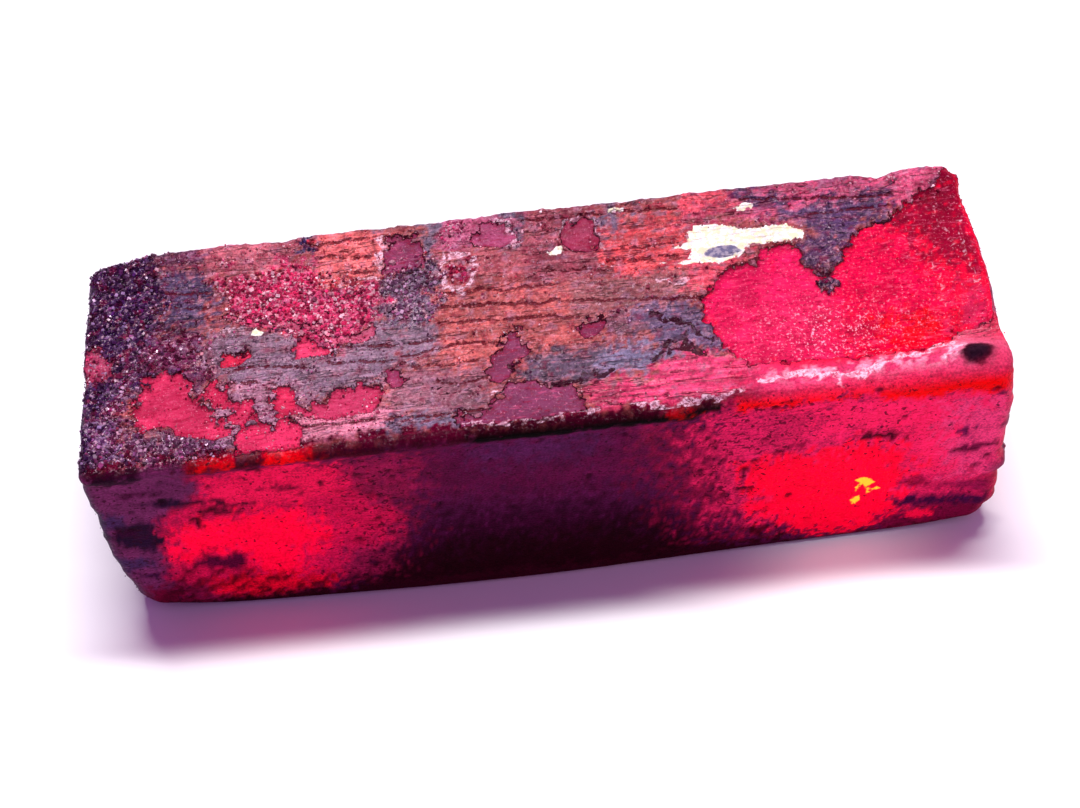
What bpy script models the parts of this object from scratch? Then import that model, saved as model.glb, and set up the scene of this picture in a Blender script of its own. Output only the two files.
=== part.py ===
"""A red beryl crystal: one stout four-sided prism lying on its side, about 50 mm long.

Its long faces carry the fine lengthwise striations of beryl. A thin crust covers it, and where the
crust has flaked off, shallow flat windows are left with sharp ledges round them. X runs along the
prism, Y from the front face to the back one, and Z up. The origin is the middle of the flat face
that it lies on. The values below are millimetres; every mesh is turned into metres as it is made.
"""

import math

import bmesh
import bpy
from mathutils import Matrix, Vector, noise

MM = 0.001

# Driving dimensions of the prism.
LENGTH, WIDTH, HEIGHT = 50.0, 14.25, 15.6
LOW = Vector((-LENGTH / 2, -WIDTH / 2, 0.0))
HIGH = Vector((LENGTH / 2, WIDTH / 2, HEIGHT))
CRUST = 0.3  # thickness of the crust, and so the depth of a window
CUTTER_REACH = 2.0  # how far a window's cutter stands out of the face

# Spacing of the cuts that the block is shaped by, along, across and up, and near its edges.
STEP_X, STEP_Y, STEP_Z = 1.6, 0.5, 1.15
EDGE_STEPS = (0.22, 0.6, 1.1)

# Edge rounding: the common radius, then (corner or edge middle, reach in X, Y and Z, radius there).
EDGE_RADIUS = 0.55
SOFT_CORNERS = (
    ((-25.0, 7.2, 10.0), (5.0, 4.0, 30.0), 1.1),  # back left upright edge
    ((-25.0, -7.2, 0.0), (3.5, 30.0, 3.0), 1.7),  # foot of the left end
    ((25.0, -7.2, 0.0), (3.0, 30.0, 2.5), 1.2),  # foot of the right end
    ((18.0, -7.2, 15.6), (6.0, 3.5, 3.5), 1.3),  # worn front edge on the right
)

# Lengthwise striations: depth on each long face, and how many ridges there are to a millimetre.
STRIA_TOP, STRIA_BACK, STRIA_FRONT = 0.15, 0.16, 0.04
STRIAE_PER_MM = 0.62

# Roughness of the long faces, and of the two broken ends.
FACE_ROUGHNESS, END_ROUGHNESS = 0.07, 0.22

# The crust hangs over the front face as a lip, as far as LIP_END.
LIP, LIP_DROP, LIP_END = 0.3, 1.5, 9.0

# Windows: flat patches where the crust is gone, as outlines on the face that they are in.
TOP_WINDOWS = (
    # beside the left end
    ((-21.3, -1.5), (-20.6, -1.1), (-19.8, -1.3), (-19.1, -2.3), (-18.9, -3.4), (-18.2, -4.4),
     (-18.4, -5.5), (-19.2, -5.7), (-20.4, -4.9), (-21.7, -4.8), (-22.1, -3.9), (-21.9, -2.6)),
    ((-17.0, -6.0), (-16.3, -5.4), (-16.6, -4.4), (-16.3, -3.7), (-15.7, -3.9), (-15.2, -4.8),
     (-14.9, -5.4), (-14.2, -5.3), (-14.5, -4.4), (-14.6, -3.0), (-14.0, -2.8), (-13.4, -4.1),
     (-13.5, -5.1), (-13.2, -6.0), (-14.6, -6.6), (-16.4, -6.6)),
    ((-12.8, -4.9), (-11.4, -3.9), (-10.1, -3.4), (-8.6, -3.4), (-8.5, -4.5), (-9.3, -5.1),
     (-11.2, -5.3)),
    # along the middle of the front edge
    ((-5.0, -6.5), (-4.2, -6.2), (-3.0, -5.9), (-2.8, -5.4), (-1.9, -5.2), (-1.2, -4.5),
     (0.4, -4.4), (1.8, -5.0), (2.3, -6.0), (2.2, -6.6)),
    ((-1.6, -0.9), (-1.0, -0.8), (-0.5, -2.4), (-1.3, -3.6), (-2.2, -4.2), (-2.8, -3.7),
     (-2.3, -2.3)),
    ((2.3, -1.2), (3.3, -0.6), (4.1, -0.9), (3.0, -2.0), (2.4, -1.9)),
    # along the back edge
    ((2.0, 4.9), (2.7, 6.1), (3.9, 6.1), (4.0, 4.2), (2.6, 4.2)),
    ((-4.4, 6.4), (-1.8, 6.5), (-0.3, 5.3), (-1.2, 4.9), (-3.0, 5.1)),
    ((-7.7, 6.2), (-6.6, 6.2), (-6.0, 4.8), (-6.6, 4.0), (-7.9, 4.1), (-8.1, 5.1)),
    # the large one, which runs out over the right end
    ((10.1, 0.2), (10.0, 1.0), (11.0, 1.6), (13.3, 2.1), (14.2, 2.9), (15.1, 2.6), (15.6, 1.0),
     (16.5, 0.6), (17.3, 1.6), (18.3, 2.9), (20.2, 4.0), (22.1, 5.1), (26.5, 5.6), (26.5, -3.2),
     (23.0, -4.0), (21.0, -5.0), (14.0, -4.9), (10.5, -4.4), (9.1, -1.0)),
)
BACK_WINDOWS = (
    ((-19.0, 4.0), (-16.5, 3.1), (-12.8, 3.9), (-11.5, 6.0), (-13.6, 7.9), (-17.2, 7.4)),
    ((-3.2, 8.8), (-0.5, 7.9), (3.6, 8.4), (5.1, 10.3), (2.9, 12.2), (-1.4, 11.6)),
    ((12.0, 2.4), (15.8, 1.7), (19.5, 3.0), (20.4, 6.2), (17.4, 8.0), (13.1, 6.3)),
)

# Lumps of crust left standing: (middle, half sizes).
LUMPS = (
    ((23.3, -5.7, 15.4), (1.15, 0.75, 0.75)),  # knob on the front right corner
    ((23.1, 6.5, 15.4), (1.6, 0.75, 0.5)),  # ridge on the back right corner
    ((24.9, -6.0, 6.3), (0.65, 0.9, 0.95)),  # knob beside the front edge of the right end
    ((-24.7, -4.6, 8.2), (0.65, 1.7, 2.6)),  # swelling of the left end
)

# Pits in the front face: (x, z, radius).
PITS = (
    (-20.0, 9.8, 0.5), (-21.4, 12.1, 0.45), (-18.9, 10.7, 0.5), (-10.1, 10.4, 0.4),
    (-7.7, 11.4, 0.35), (-2.4, 7.5, 0.4), (10.7, 6.6, 0.5), (10.9, 8.6, 0.4), (8.8, 6.2, 0.4),
    (12.1, 4.3, 0.4), (18.5, 10.6, 0.6), (22.9, 8.2, 0.45),
)


def clear_scene():
    for obj in list(bpy.data.objects):
        bpy.data.objects.remove(obj, do_unlink=True)


def collection(name):
    made = bpy.data.collections.new(name)
    bpy.context.scene.collection.children.link(made)
    return made


def ease(low, high, value):
    """0 below low, 1 above high, and a smooth run between them."""
    t = min(1.0, max(0.0, (value - low) / (high - low)))
    return t * t * (3.0 - 2.0 * t)


def hump(value, middle, half_width):
    return math.exp(-(((value - middle) / half_width) ** 2))


def edge_radius(point):
    """Rounding of the edges near this point."""
    radius = EDGE_RADIUS
    for corner, reach, there in SOFT_CORNERS:
        away = sum(((point[i] - corner[i]) / reach[i]) ** 2 for i in range(3))
        radius += (there - EDGE_RADIUS) * math.exp(-away)
    return radius


def rounded(point):
    """The point of the rounded block for a point of the sharp one, and the way out from there."""
    radius = edge_radius(point)
    core = Vector(min(max(point[i], LOW[i] + radius), HIGH[i] - radius) for i in range(3))
    out = (point - core).normalized()
    return core + radius * out, out


def striae(across, along, seed):
    """Ridges and grooves that run the length of the prism: from -1 to 1, sharper in the grooves."""
    wander = 0.35 * noise.noise(Vector((along * 0.09, across * 0.3, seed)))
    fine = noise.noise(Vector((along * 0.02, (across + wander) * 2.3, seed + 7.0)))
    wave = math.cos(2.0 * math.pi * STRIAE_PER_MM * (across + wander))
    return 0.3 - 0.6 * max(0.0, -wave) ** 1.6 + 0.9 * fine


def top_relief(x, y):
    """The worn right end of the top face: a trough behind a raised rim, running up to the knob."""
    worn = ease(12.0, 18.0, x)
    trough = -0.45 * worn * hump(y, -3.9, 1.6)
    rim = worn * (0.2 + 0.25 * ease(19.0, 23.5, x)) * hump(y, -6.0, 0.8)
    crest = 0.28 * (1.0 - 0.5 * hump(x, -14.0, 1.5)) * ease(4.6, 6.6, y)
    notch = -0.5 * hump(x, 20.3, 1.0) * ease(5.6, 7.2, y)
    return trough + rim + crest + notch


def front_relief(x, z):
    """The front face swells a little toward its foot, and the crust overhangs it at the top."""
    swell = 0.4 * hump(x, -1.0, 9.0) * (1.0 - ease(1.0, 6.0, z))
    overhang = ease(HEIGHT - LIP_DROP, HEIGHT - 0.5, z) * (1.0 - ease(LIP_END - 2.0, LIP_END, x))
    return swell + LIP * overhang


def relief(point, out):
    """How far the finished surface stands off the rounded block here."""
    x, y, z = point
    up, back, front, end = max(0.0, out.z), max(0.0, out.y), max(0.0, -out.y), abs(out.x)
    rough = noise.fractal(point * 0.32, 0.9, 2.2, 3)
    height = rough * (FACE_ROUGHNESS + (END_ROUGHNESS - FACE_ROUGHNESS) * end)
    height += STRIA_TOP * striae(y, x, 0.0) * up**2
    height += STRIA_BACK * striae(z, x, 20.0) * back**2
    height += STRIA_FRONT * striae(z, x, 40.0) * front**2
    height += top_relief(x, y) * up
    height += front_relief(x, z) * front**2
    height += 0.25 * end**2 * math.sin(math.pi * z / HEIGHT)
    height -= 0.4 * hump(x, 20.3, 1.0) * ease(12.5, 15.0, z) * back
    return height * ease(0.0, 1.2, z)


def cut_lines(low, high, step):
    """Where a side is cut: close together by both ends, and about step apart between them."""
    inner_low, inner_high = low + EDGE_STEPS[-1], high - EDGE_STEPS[-1]
    count = round((inner_high - inner_low) / step)
    lines = [low + s for s in EDGE_STEPS[:-1]] + [high - s for s in EDGE_STEPS[:-1]]
    lines += [inner_low + (inner_high - inner_low) * i / count for i in range(count + 1)]
    return sorted(lines)


def mesh_in_metres(bm, name):
    mesh = bpy.data.meshes.new(name)
    bm.to_mesh(mesh)
    bm.free()
    mesh.transform(Matrix.Scale(MM, 4))
    return mesh


def prism_mesh():
    """A cube primitive at the prism's size, cut across in all three ways, then shaped."""
    bm = bmesh.new()
    bmesh.ops.create_cube(bm, size=1.0)
    bmesh.ops.scale(bm, vec=HIGH - LOW, verts=bm.verts)
    bmesh.ops.translate(bm, vec=(LOW + HIGH) / 2, verts=bm.verts)
    for axis, step in enumerate((STEP_X, STEP_Y, STEP_Z)):
        normal = Vector(float(i == axis) for i in range(3))
        for line in cut_lines(LOW[axis], HIGH[axis], step):
            everything = bm.verts[:] + bm.edges[:] + bm.faces[:]
            bmesh.ops.bisect_plane(bm, geom=everything, plane_co=normal * line, plane_no=normal)
    for vert in bm.verts:
        surface, out = rounded(vert.co)
        vert.co = surface + out * relief(surface, out)
    # The face that it lies on is one flat face.
    foot = [f for f in bm.faces if f.normal.z < -0.5 and max(v.co.z for v in f.verts) < 1e-4]
    bmesh.ops.dissolve_faces(bm, faces=foot, use_verts=True)
    centre_on_origin(bm)
    mesh = mesh_in_metres(bm, "crystal")
    mesh.shade_smooth()
    mesh.set_sharp_from_angle(angle=math.radians(35.0))
    return mesh


def centre_on_origin(bm):
    for axis in (0, 1):
        reach = [v.co[axis] for v in bm.verts]
        shift = Vector((0.0, 0.0, 0.0))
        shift[axis] = -(min(reach) + max(reach)) / 2
        bmesh.ops.translate(bm, vec=shift, verts=bm.verts)


def window_cutter(name, outlines, where):
    """The outlines as one flat curve, extruded far enough to cut the crust, and made a mesh."""
    curve = bpy.data.curves.new(name, "CURVE")
    curve.dimensions = "2D"
    curve.fill_mode = "BOTH"
    curve.extrude = CUTTER_REACH
    for outline in outlines:
        spline = curve.splines.new("POLY")
        spline.points.add(len(outline) - 1)
        for point, (u, v) in zip(spline.points, outline):
            point.co = (u, v, 0.0, 1.0)
        spline.use_cyclic_u = True
    flat = bpy.data.objects.new(name, curve)
    bpy.context.scene.collection.objects.link(flat)
    graph = bpy.context.evaluated_depsgraph_get()
    extruded = bpy.data.meshes.new_from_object(flat.evaluated_get(graph))
    bpy.data.objects.remove(flat, do_unlink=True)
    bm = bmesh.new()
    bm.from_mesh(extruded)
    bmesh.ops.remove_doubles(bm, verts=bm.verts, dist=1e-4)
    bmesh.ops.recalc_face_normals(bm, faces=bm.faces)
    bmesh.ops.transform(bm, matrix=where, verts=bm.verts)
    return mesh_in_metres(bm, name)


def add_lump(bm, middle, half_sizes, subdivisions):
    """An uneven ellipsoid, from an icosphere primitive."""
    lump = bmesh.ops.create_icosphere(bm, subdivisions=subdivisions, radius=1.0)
    for vert in lump["verts"]:
        vert.co *= 1.0 + 0.22 * noise.noise(vert.co * 1.7 + Vector(middle))
        vert.co = Vector(middle) + Vector(vert.co[i] * half_sizes[i] for i in range(3))


def lumps_mesh():
    bm = bmesh.new()
    for middle, half_sizes in LUMPS:
        add_lump(bm, middle, half_sizes, 2)
    return mesh_in_metres(bm, "lumps")


def pits_mesh():
    bm = bmesh.new()
    for x, z, radius in PITS:
        middle = (x, -WIDTH / 2 + 0.15, z)
        add_lump(bm, middle, (radius, 0.5, 0.7 * radius), 1)
    return mesh_in_metres(bm, "pits")


def crystal_material():
    material = bpy.data.materials.new("red_beryl")
    material.use_nodes = True
    shader = material.node_tree.nodes["Principled BSDF"]
    shader.inputs["Base Color"].default_value = (0.35, 0.015, 0.06, 1.0)
    shader.inputs["Roughness"].default_value = 0.45
    shader.inputs["Metallic"].default_value = 0.0
    shader.inputs["IOR"].default_value = 1.58
    return material


def main():
    clear_scene()
    parts, cutters = collection("red_beryl_crystal"), collection("cutters")
    crystal = bpy.data.objects.new("crystal", prism_mesh())
    crystal.data.materials.append(crystal_material())
    parts.objects.link(crystal)

    on_top = Matrix.Translation((0.0, 0.0, HEIGHT - CRUST + CUTTER_REACH))
    on_back = Matrix.Translation((0.0, WIDTH / 2 - CRUST + CUTTER_REACH, 0.0))
    on_back @= Matrix.Rotation(math.pi / 2, 4, "X")
    tools = (
        ("DIFFERENCE", window_cutter("top_windows", TOP_WINDOWS, on_top)),
        ("DIFFERENCE", window_cutter("back_windows", BACK_WINDOWS, on_back)),
        ("UNION", lumps_mesh()),
        ("DIFFERENCE", pits_mesh()),
    )
    for operation, mesh in tools:
        tool = bpy.data.objects.new(mesh.name, mesh)
        tool.hide_render = True
        tool.display_type = "WIRE"
        cutters.objects.link(tool)
        modifier = crystal.modifiers.new(mesh.name, "BOOLEAN")
        modifier.operation = operation
        modifier.object = tool


main()
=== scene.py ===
"""A red beryl crystal lying on a pale table: a translucent red prism under a thin broken crust."""

import math
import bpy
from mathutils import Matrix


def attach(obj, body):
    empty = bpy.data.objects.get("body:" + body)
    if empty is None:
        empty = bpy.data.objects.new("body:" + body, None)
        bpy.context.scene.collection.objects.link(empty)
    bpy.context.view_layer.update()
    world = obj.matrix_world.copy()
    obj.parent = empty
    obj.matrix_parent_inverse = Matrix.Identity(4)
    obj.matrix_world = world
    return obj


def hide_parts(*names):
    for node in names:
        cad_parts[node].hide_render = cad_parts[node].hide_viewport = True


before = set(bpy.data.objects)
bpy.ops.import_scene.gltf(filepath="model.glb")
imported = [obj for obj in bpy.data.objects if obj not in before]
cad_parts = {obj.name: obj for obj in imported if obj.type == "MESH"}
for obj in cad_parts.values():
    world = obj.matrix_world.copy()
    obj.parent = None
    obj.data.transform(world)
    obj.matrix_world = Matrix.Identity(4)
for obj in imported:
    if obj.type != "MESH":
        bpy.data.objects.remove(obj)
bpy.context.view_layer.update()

from types import SimpleNamespace

import bpy
import numpy as np
from mathutils import Matrix, Vector, noise

MM = 0.001
PER_METRE = (1000.0, 1000.0, 1000.0)

# ---- the prism, in millimetres
LENGTH, WIDTH, HEIGHT = 50.4, 14.5, 15.65
LOW = np.array((-LENGTH / 2, -WIDTH / 2, 0.0))
HIGH = np.array((LENGTH / 2, WIDTH / 2, HEIGHT))
SEGMENTS = (300, 138, 56)  # divisions of the sides along X, Y and Z
FOOT_COARSER = 8  # the foot, which nobody sees, has this many times fewer
EDGE_CROWDING_Y, EDGE_CROWDING_Z = 0.3, 0.45  # how much the divisions crowd to the long edges

EDGE_RADIUS = 0.5
SOFT_CORNERS = (
    ((-25.2, 7.2, 10.0), (5.0, 4.0, 30.0), 1.1),  # back left upright edge
    ((-25.0, -7.2, 0.0), (3.5, 30.0, 3.0), 1.7),  # foot of the left end
    ((25.0, -7.2, 0.0), (3.0, 30.0, 2.5), 1.2),  # foot of the right end
    ((18.0, -7.2, 15.6), (6.0, 3.5, 3.5), 1.3),  # worn front edge on the right
    ((25.2, 7.2, 15.6), (3.0, 3.0, 4.0), 1.1),  # back corner on the right
)

FAR = 9.0  # farther than any mark reaches
OFF_SIDE = 3.0  # what the distance from a mark grows by on the sides that don't carry it
BROKEN_EDGE = (-0.06, 0.07)  # the step down from the crust, in distance from a window's outline

GRAIN_COUNT, GRAIN_SEED = 15000, 21
GRAIN_SIZE, SMALLEST_GRAIN, LARGEST_GRAIN = 0.14, 0.05, 0.26
GRAIN_CORNERS = 8
LOWEST_GRAIN = 0.02  # the least height of a grain's corner

WIDE, MID, FINE = 0.9, 1.9, 3.2  # cells of noise to a millimetre
RIDGES, RIDGE_SHARPNESS = 0.62, 1.6  # ridges of the striations to a millimetre
SLANT_X, SLANT_Z = 0.77, 0.64  # the way the smears in the front face run

BERYL_IOR = 1.58

# ---- colours, as display values
INDIGO = (60, 32, 72)
SLATE = (112, 90, 112)
MAROON = (105, 40, 62)
ROSE = (185, 52, 88)
BRICK = (150, 66, 68)
WINE = (122, 30, 60)
CRIMSON = (196, 18, 58)
SCARLET = (240, 10, 52)
SOOT = (98, 74, 102)
NUB_VIOLET = (52, 30, 70)
WHITE = (255, 255, 255)


# ---- small helpers
def linear(rgb):
    """Display values, 0 to 255, as a linear colour."""
    return np.array([(v / 255.0) ** 2.2 for v in rgb])


def ease(low, high, value):
    """A smooth step from 0 at low to 1 at high."""
    t = np.clip((value - low) / (high - low), 0.0, 1.0)
    return t * t * (3.0 - 2.0 * t)


def hump(value, middle, half_width):
    """A bell that is 1 at its middle."""
    return np.exp(-(((value - middle) / half_width) ** 2))


def knoll(points, middle, half_sizes):
    """A bell in space."""
    return np.exp(-(((points - np.array(middle)) / np.array(half_sizes)) ** 2).sum(axis=1))


def cloud(points, scale, seed, octaves=3):
    """Fractal noise at these points, scale in cells to a millimetre along each axis."""
    shift = Vector((seed * 13.7, seed * 5.1, seed * 9.3))
    scaled = np.asarray(points) * np.asarray(scale)
    return np.array([noise.fractal(Vector(p) + shift, 0.8, 2.1, octaves) for p in scaled])


def steps(path):
    """The straight pieces of a path that is given as its numbers in turn: u, v, u, v and so on."""
    points = list(zip(path[::2], path[1::2]))
    return zip(points, points[1:])


def distance_to_path(path, u, v):
    nearest = np.full(u.shape, 1e9)
    for (u0, v0), (u1, v1) in steps(path):
        du, dv = u1 - u0, v1 - v0
        t = np.clip(((u - u0) * du + (v - v0) * dv) / (du * du + dv * dv + 1e-12), 0.0, 1.0)
        nearest = np.minimum(nearest, np.hypot(u - u0 - t * du, v - v0 - t * dv))
    return nearest


def distance_to(outline, u, v):
    """Signed distance from a closed outline, less than zero inside it."""
    closed = outline + outline[:2]
    inside = np.zeros(u.shape, bool)
    for (u0, v0), (u1, v1) in steps(closed):
        if v0 != v1:
            inside ^= ((v0 > v) != (v1 > v)) & (u < (u1 - u0) * (v - v0) / (v1 - v0) + u0)
    away = distance_to_path(closed, u, v)
    return np.where(inside, -away, away)


def distance_to_any(outlines, u, v):
    return np.min([distance_to(outline, u, v) for outline in outlines], axis=0)


def distance_to_lines(lines, u, v):
    """Distance from the nearest of these lines, less each one's own half width."""
    return np.min([distance_to_path(path, u, v) - width for width, path in lines], axis=0)


# ---- what is where on the top face
# An outline or a path is its corners in turn, x, y, x, y and so on, in millimetres.
# Broad tints, painted one over the other: (colour, softness of the edge, outline).
TOP_TINTS = (
    (BRICK, 0.1, (-30, -9, 30, -9, 30, 9, -30, 9)),
    ((50, 24, 62), 0.5, (-26, 8, -20.8, 8, -20.6, 5, -21, 3, -20.5, 1.8, -19.5, 0.8, -18.2, 1.6, -17.8, 0.4,
        -18.4, -1.2, -18.4, -2.8, -22.2, -2.6, -22.5, -5, -21.5, -7.5, -26, -7.5)),
    ((104, 40, 70), 0.7, (-21.4, 1.8, -18.2, 1.6, -18, -2.6, -19, -2.4, -21, -0.8, -22.6, -2.2, -22.4, -5.4,
        -21, -6.4, -23.4, -5, -23.2, -1.4)),
    ((140, 40, 66), 0.3, (-25.6, 1, -24.4, 1, -23.7, 0.2, -23.3, -0.9, -24.3, -1.4, -25.6, -1.3)),
    ((124, 88, 124), 0.7, (-24.8, -4.6, -22.4, -4.8, -21.6, -6.9, -24.6, -7.2)),
    ((72, 52, 80), 0.35, (-21, 5.6, -17.9, 5.7, -17.7, 1.9, -19, 1.4, -20.1, 1.6, -21.1, 2.6)),
    ((92, 40, 62), 0.4, (-21.6, 7.6, -21.4, 5.7, -17.4, 5.8, -17.4, 7.6)),
    ((168, 78, 90), 0.4, (-18, 7.6, -18.2, 5, -14, 5.2, -12.8, 5.6, -13.2, 7.6)),
    (ROSE, 0.25, (-16.6, 1.6, -17, 3.2, -17.4, 4.8, -17, 5.2, -16.5, 4.8, -15, 4.7, -14, 5.6, -12.6, 5.2,
        -11, 4, -10.2, 3.4, -8.4, 3.4, -8.2, 1.2, -9.2, 0.3, -10.5, -0.8, -11.5, -1.2, -13, -1, -13, 0.2,
        -14.6, 1.2, -15.8, 1.5)),
    ((130, 92, 110), 0.35, (-17.8, 1.2, -15.8, 1.3, -14.4, 1, -13, 0.1, -11.4, -1, -9.8, -0.7, -8.4, 0.3,
        -5.2, 0.3, -5.2, -2.3, -7, -2.8, -9, -3.2, -11.4, -3.6, -13, -4.6, -15, -3.2, -17.6, -2.4,
        -18.2, -0.6)),
    ((166, 104, 126), 0.4, (-18.2, -2.4, -13, -2.6, -12.2, -4.6, -13, -5.2, -12.8, -7, -17.4, -7,
        -18.4, -5.2)),
    ((108, 68, 92), 0.4, (-22.2, -5.1, -17.6, -5.5, -16.8, -6.4, -16.8, -7.4, -22.2, -7.4)),
    ((48, 44, 84), 0.25, (-13.3, 7.6, -13.2, 6.2, -12.6, 5.7, -11.9, 6.4, -11.7, 7.6)),
    ((204, 86, 88), 0.25, (-12.2, 5.2, -12.4, 6, -11.6, 7.6, -9.2, 7.6, -8.3, 6.6, -8.35, 4, -9.6, 3.9,
        -10.3, 3, -11.6, 3.6)),
    ((112, 66, 86), 0.25, (-9.3, 7.6, -9.1, 6.9, -8.1, 6.9, -8.1, 7.6)),
    ((116, 88, 106), 0.3, (-8.3, 3.9, -5, 4.2, -5, -0.4, -8.3, 0.2)),
    ((112, 86, 106), 0.3, (-6.3, 7.6, -4.9, 7.6, -4.9, -0.3, -5.9, -0.3)),
    ((166, 72, 100), 0.3, (-5, 7.6, 0.2, 7.6, 0, 4.9, -5, 4.9)),
    ((92, 74, 94), 0.2, (-1.7, 7.3, -0.2, 7.3, -0.1, 4.6, -1.2, 4.7, -0.6, 5.4)),
    ((158, 72, 80), 0.4, (-5, 4.9, 1, 4.9, 1, 2.4, -5, 2.4)),
    ((150, 20, 56), 0.2, (-4.8, 3.4, -4.5, 4.3, -4, 4.5, -3.5, 4.2, -3.3, 3.5, -3.5, 2.8, -4, 2.6,
        -4.6, 2.8)),
    ((168, 74, 74), 0.6, (-5.2, 2.5, 0, 2.4, 2.2, 0.4, 2.2, -3, -0.4, -2.7, -1.2, -3.2, -5, -3, -7.4, -3,
        -7.2, -2.4, -5.2, -2.3)),
    ((136, 78, 92), 0.4, (-8.6, -2.7, -5.4, -2.8, -2.8, -4, -3, -6, -5, -6.3, -8, -6)),
    ((192, 100, 122), 0.4, (-13.2, -5.1, -8.4, -5, -7.2, -6, -8.6, -7, -13.2, -7)),
    ((108, 86, 108), 0.3, (-8.2, -6, -5, -6, -3, -6.3, -4.6, -7.2, -9.4, -7.2)),
    ((196, 64, 70), 0.5, (4.2, 5.4, 9.2, 5.8, 9.4, 1.4, 5, 1.2)),
    ((136, 58, 70), 0.5, (0, 6.9, 4.2, 6.9, 4.6, 2, 0, 2)),
    ((104, 78, 100), 0.3, (4.2, 7.6, 5.8, 7.6, 5.6, 5.4, 4.3, 5.3)),
    ((142, 76, 80), 0.5, (2.2, 1.9, 9.6, 1.6, 9.4, -0.6, 2.2, -0.6)),
    ((160, 50, 74), 0.5, (8.8, 7.6, 15.5, 7.6, 15.5, 4.9, 8.8, 4.9)),
    ((206, 66, 80), 0.4, (8.6, 7, 12, 7, 12, 6, 8.6, 6)),
    ((200, 62, 80), 0.4, (8.6, 2.6, 13.2, 2.3, 11, 1.7, 10.2, 0.4, 8.8, 0.4)),
    ((90, 66, 84), 0.3, (-0.8, -2.6, 4.4, -2.8, 4.2, -4.5, 1.4, -4.9, -0.6, -4.3)),
    ((118, 70, 84), 0.4, (4.2, -0.4, 6.2, -0.4, 6.2, -2.2, 4.2, -2.2)),
    # pale lavender on the folds: painted highlight
    ((126, 106, 136), 0.4, (4, -2.8, 6, -2.9, 7.4, -3, 7.2, -3.8, 6.2, -4.5, 4.2, -4.9, 3, -4.6)),
    ((64, 38, 70), 0.25, (15.8, 0.6, 17.1, 0.6, 17, -0.9, 15.9, -0.9)),
    (SOOT, 0.35, (6, -0.2, 8.2, -0.2, 9.6, -1.8, 10.1, -3.6, 9.4, -4.2, 8.4, -3.3, 7.4, -2.8, 6.6, -3.6,
        6, -2.2)),
    ((200, 52, 90), 0.35, (2.4, -4.9, 4.2, -5.2, 6.2, -4.8, 7.4, -3.2, 8.4, -3.7, 9.6, -4.4, 10.6, -4.2,
        13, -5, 13.5, -7, 2.4, -7)),
    ((166, 50, 78), 0.4, (2.4, -4.9, 4.2, -5.1, 4, -6.6, 2.6, -6.6)),
    ((178, 62, 92), 0.4, (12, 7.6, 26, 7.6, 26, 5.2, 22, 5.2, 20.6, 4.2, 16, 4.2, 12, 5)),
    ((78, 48, 82), 0.45, (15.4, 5.6, 20.6, 5.9, 21.3, 5, 20.6, 4.2, 19.3, 3.7, 18.3, 3, 17.4, 1.6, 17, 0.8,
        16.4, 0.6, 15.4, 1.4, 15.2, 2.4, 15.6, 3.2, 15.7, 4.2, 13.4, 5.4, 12.2, 6.2, 12.2, 7, 15, 6.3)),
    ((78, 52, 92), 0.35, (21.9, 7.7, 24.4, 7.4, 24.2, 6.7, 21.9, 7)),
    ((150, 70, 100), 0.35, (16.6, 7.6, 19.6, 7.5, 18.8, 6.6, 16.6, 6.6)),
    ((196, 26, 66), 0.6, (10.5, -5.6, 13, -4.9, 26, -4.4, 26, -9, 10.5, -9)),
    # darker along the front edge: painted shadow under the overhanging lip
    ((92, 8, 40), 0.4, (-27, -6.85, -4, -6.9, 12, -7, 12, -9, -27, -9)),
)

# Flat bare windows in the crust: (colour, outline).
WINDOWS = (
    ((184, 22, 62), (-21.4, -1.6, -20.8, -1.1, -20, -1.2, -19.4, -1.7, -19, -2.6, -19.1, -3.2, -18.5, -3.3,
        -18.3, -4.2, -18.2, -5.2, -18.8, -5.7, -19.6, -5.4, -19.9, -4.8, -20.8, -4.6, -21.8, -4.9,
        -22, -3.9, -21.9, -2.8)),
    ((188, 20, 60), (-18.4, -2.8, -17.8, -2.1, -17.2, -2.9, -16.9, -3.8, -17.4, -3.9, -18, -3.3)),
    ((206, 22, 54), (-17.3, -0.3, -16.6, -0.3, -16, -0.6, -16, -0.9, -16.5, -1.1, -17.3, -1)),
    ((180, 24, 60), (-18.8, -3.9, -18.2, -3.9, -18.1, -4.8, -17.3, -5, -17.2, -5.6, -17.8, -5.9,
        -18.9, -5.6, -19.3, -4.9)),
    ((194, 26, 66), (-17, -4.6, -16.6, -3.9, -15.9, -3.7, -15.6, -4.4, -16, -5, -16.9, -5)),
    ((196, 20, 60), (-14.5, -3.2, -13.9, -2.9, -13.5, -3.5, -13.3, -4.3, -13.7, -4.9, -14.3, -4.8,
        -14.6, -4)),
    ((208, 30, 74), (-16.9, -6.2, -16.3, -5.4, -15.6, -5, -15.1, -5.5, -14.6, -5.6, -14.1, -5.1,
        -13.4, -5.3, -13.1, -6, -13, -6.8, -15, -6.9, -16.3, -6.9)),
    ((190, 44, 80), (-13.3, -4.6, -12.1, -4.5, -11.2, -3.75, -10.2, -3.4, -8.9, -3.6, -8.7, -4.6,
        -9.2, -5.2, -10.8, -5.2, -11.6, -5.5, -12.4, -5.2)),
    ((208, 48, 84), (-13.2, -0.3, -12.7, 0.3, -12.3, -0.4, -11, -0.8, -11.2, -1.2, -12.2, -1, -13.1, -1.2)),
    (SCARLET, (9.9, 0.3, 10.3, 1, 11, 1.6, 13, 1.9, 13.3, 2.7, 15, 2.9, 15.1, 2, 15.4, 1.1, 16.3, 0.4,
        17, 0.7, 17.5, 1.6, 18.4, 2.9, 19.4, 3.6, 20.8, 3.9, 21.6, 4.9, 23.2, 5.6, 24.3, 6.6, 26.5, 6.2,
        26.5, -3.2, 23, -3.8, 21, -5, 14, -4.9, 11.4, -4.8, 10.4, -3.8, 9.2, -1.2)),
)

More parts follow.
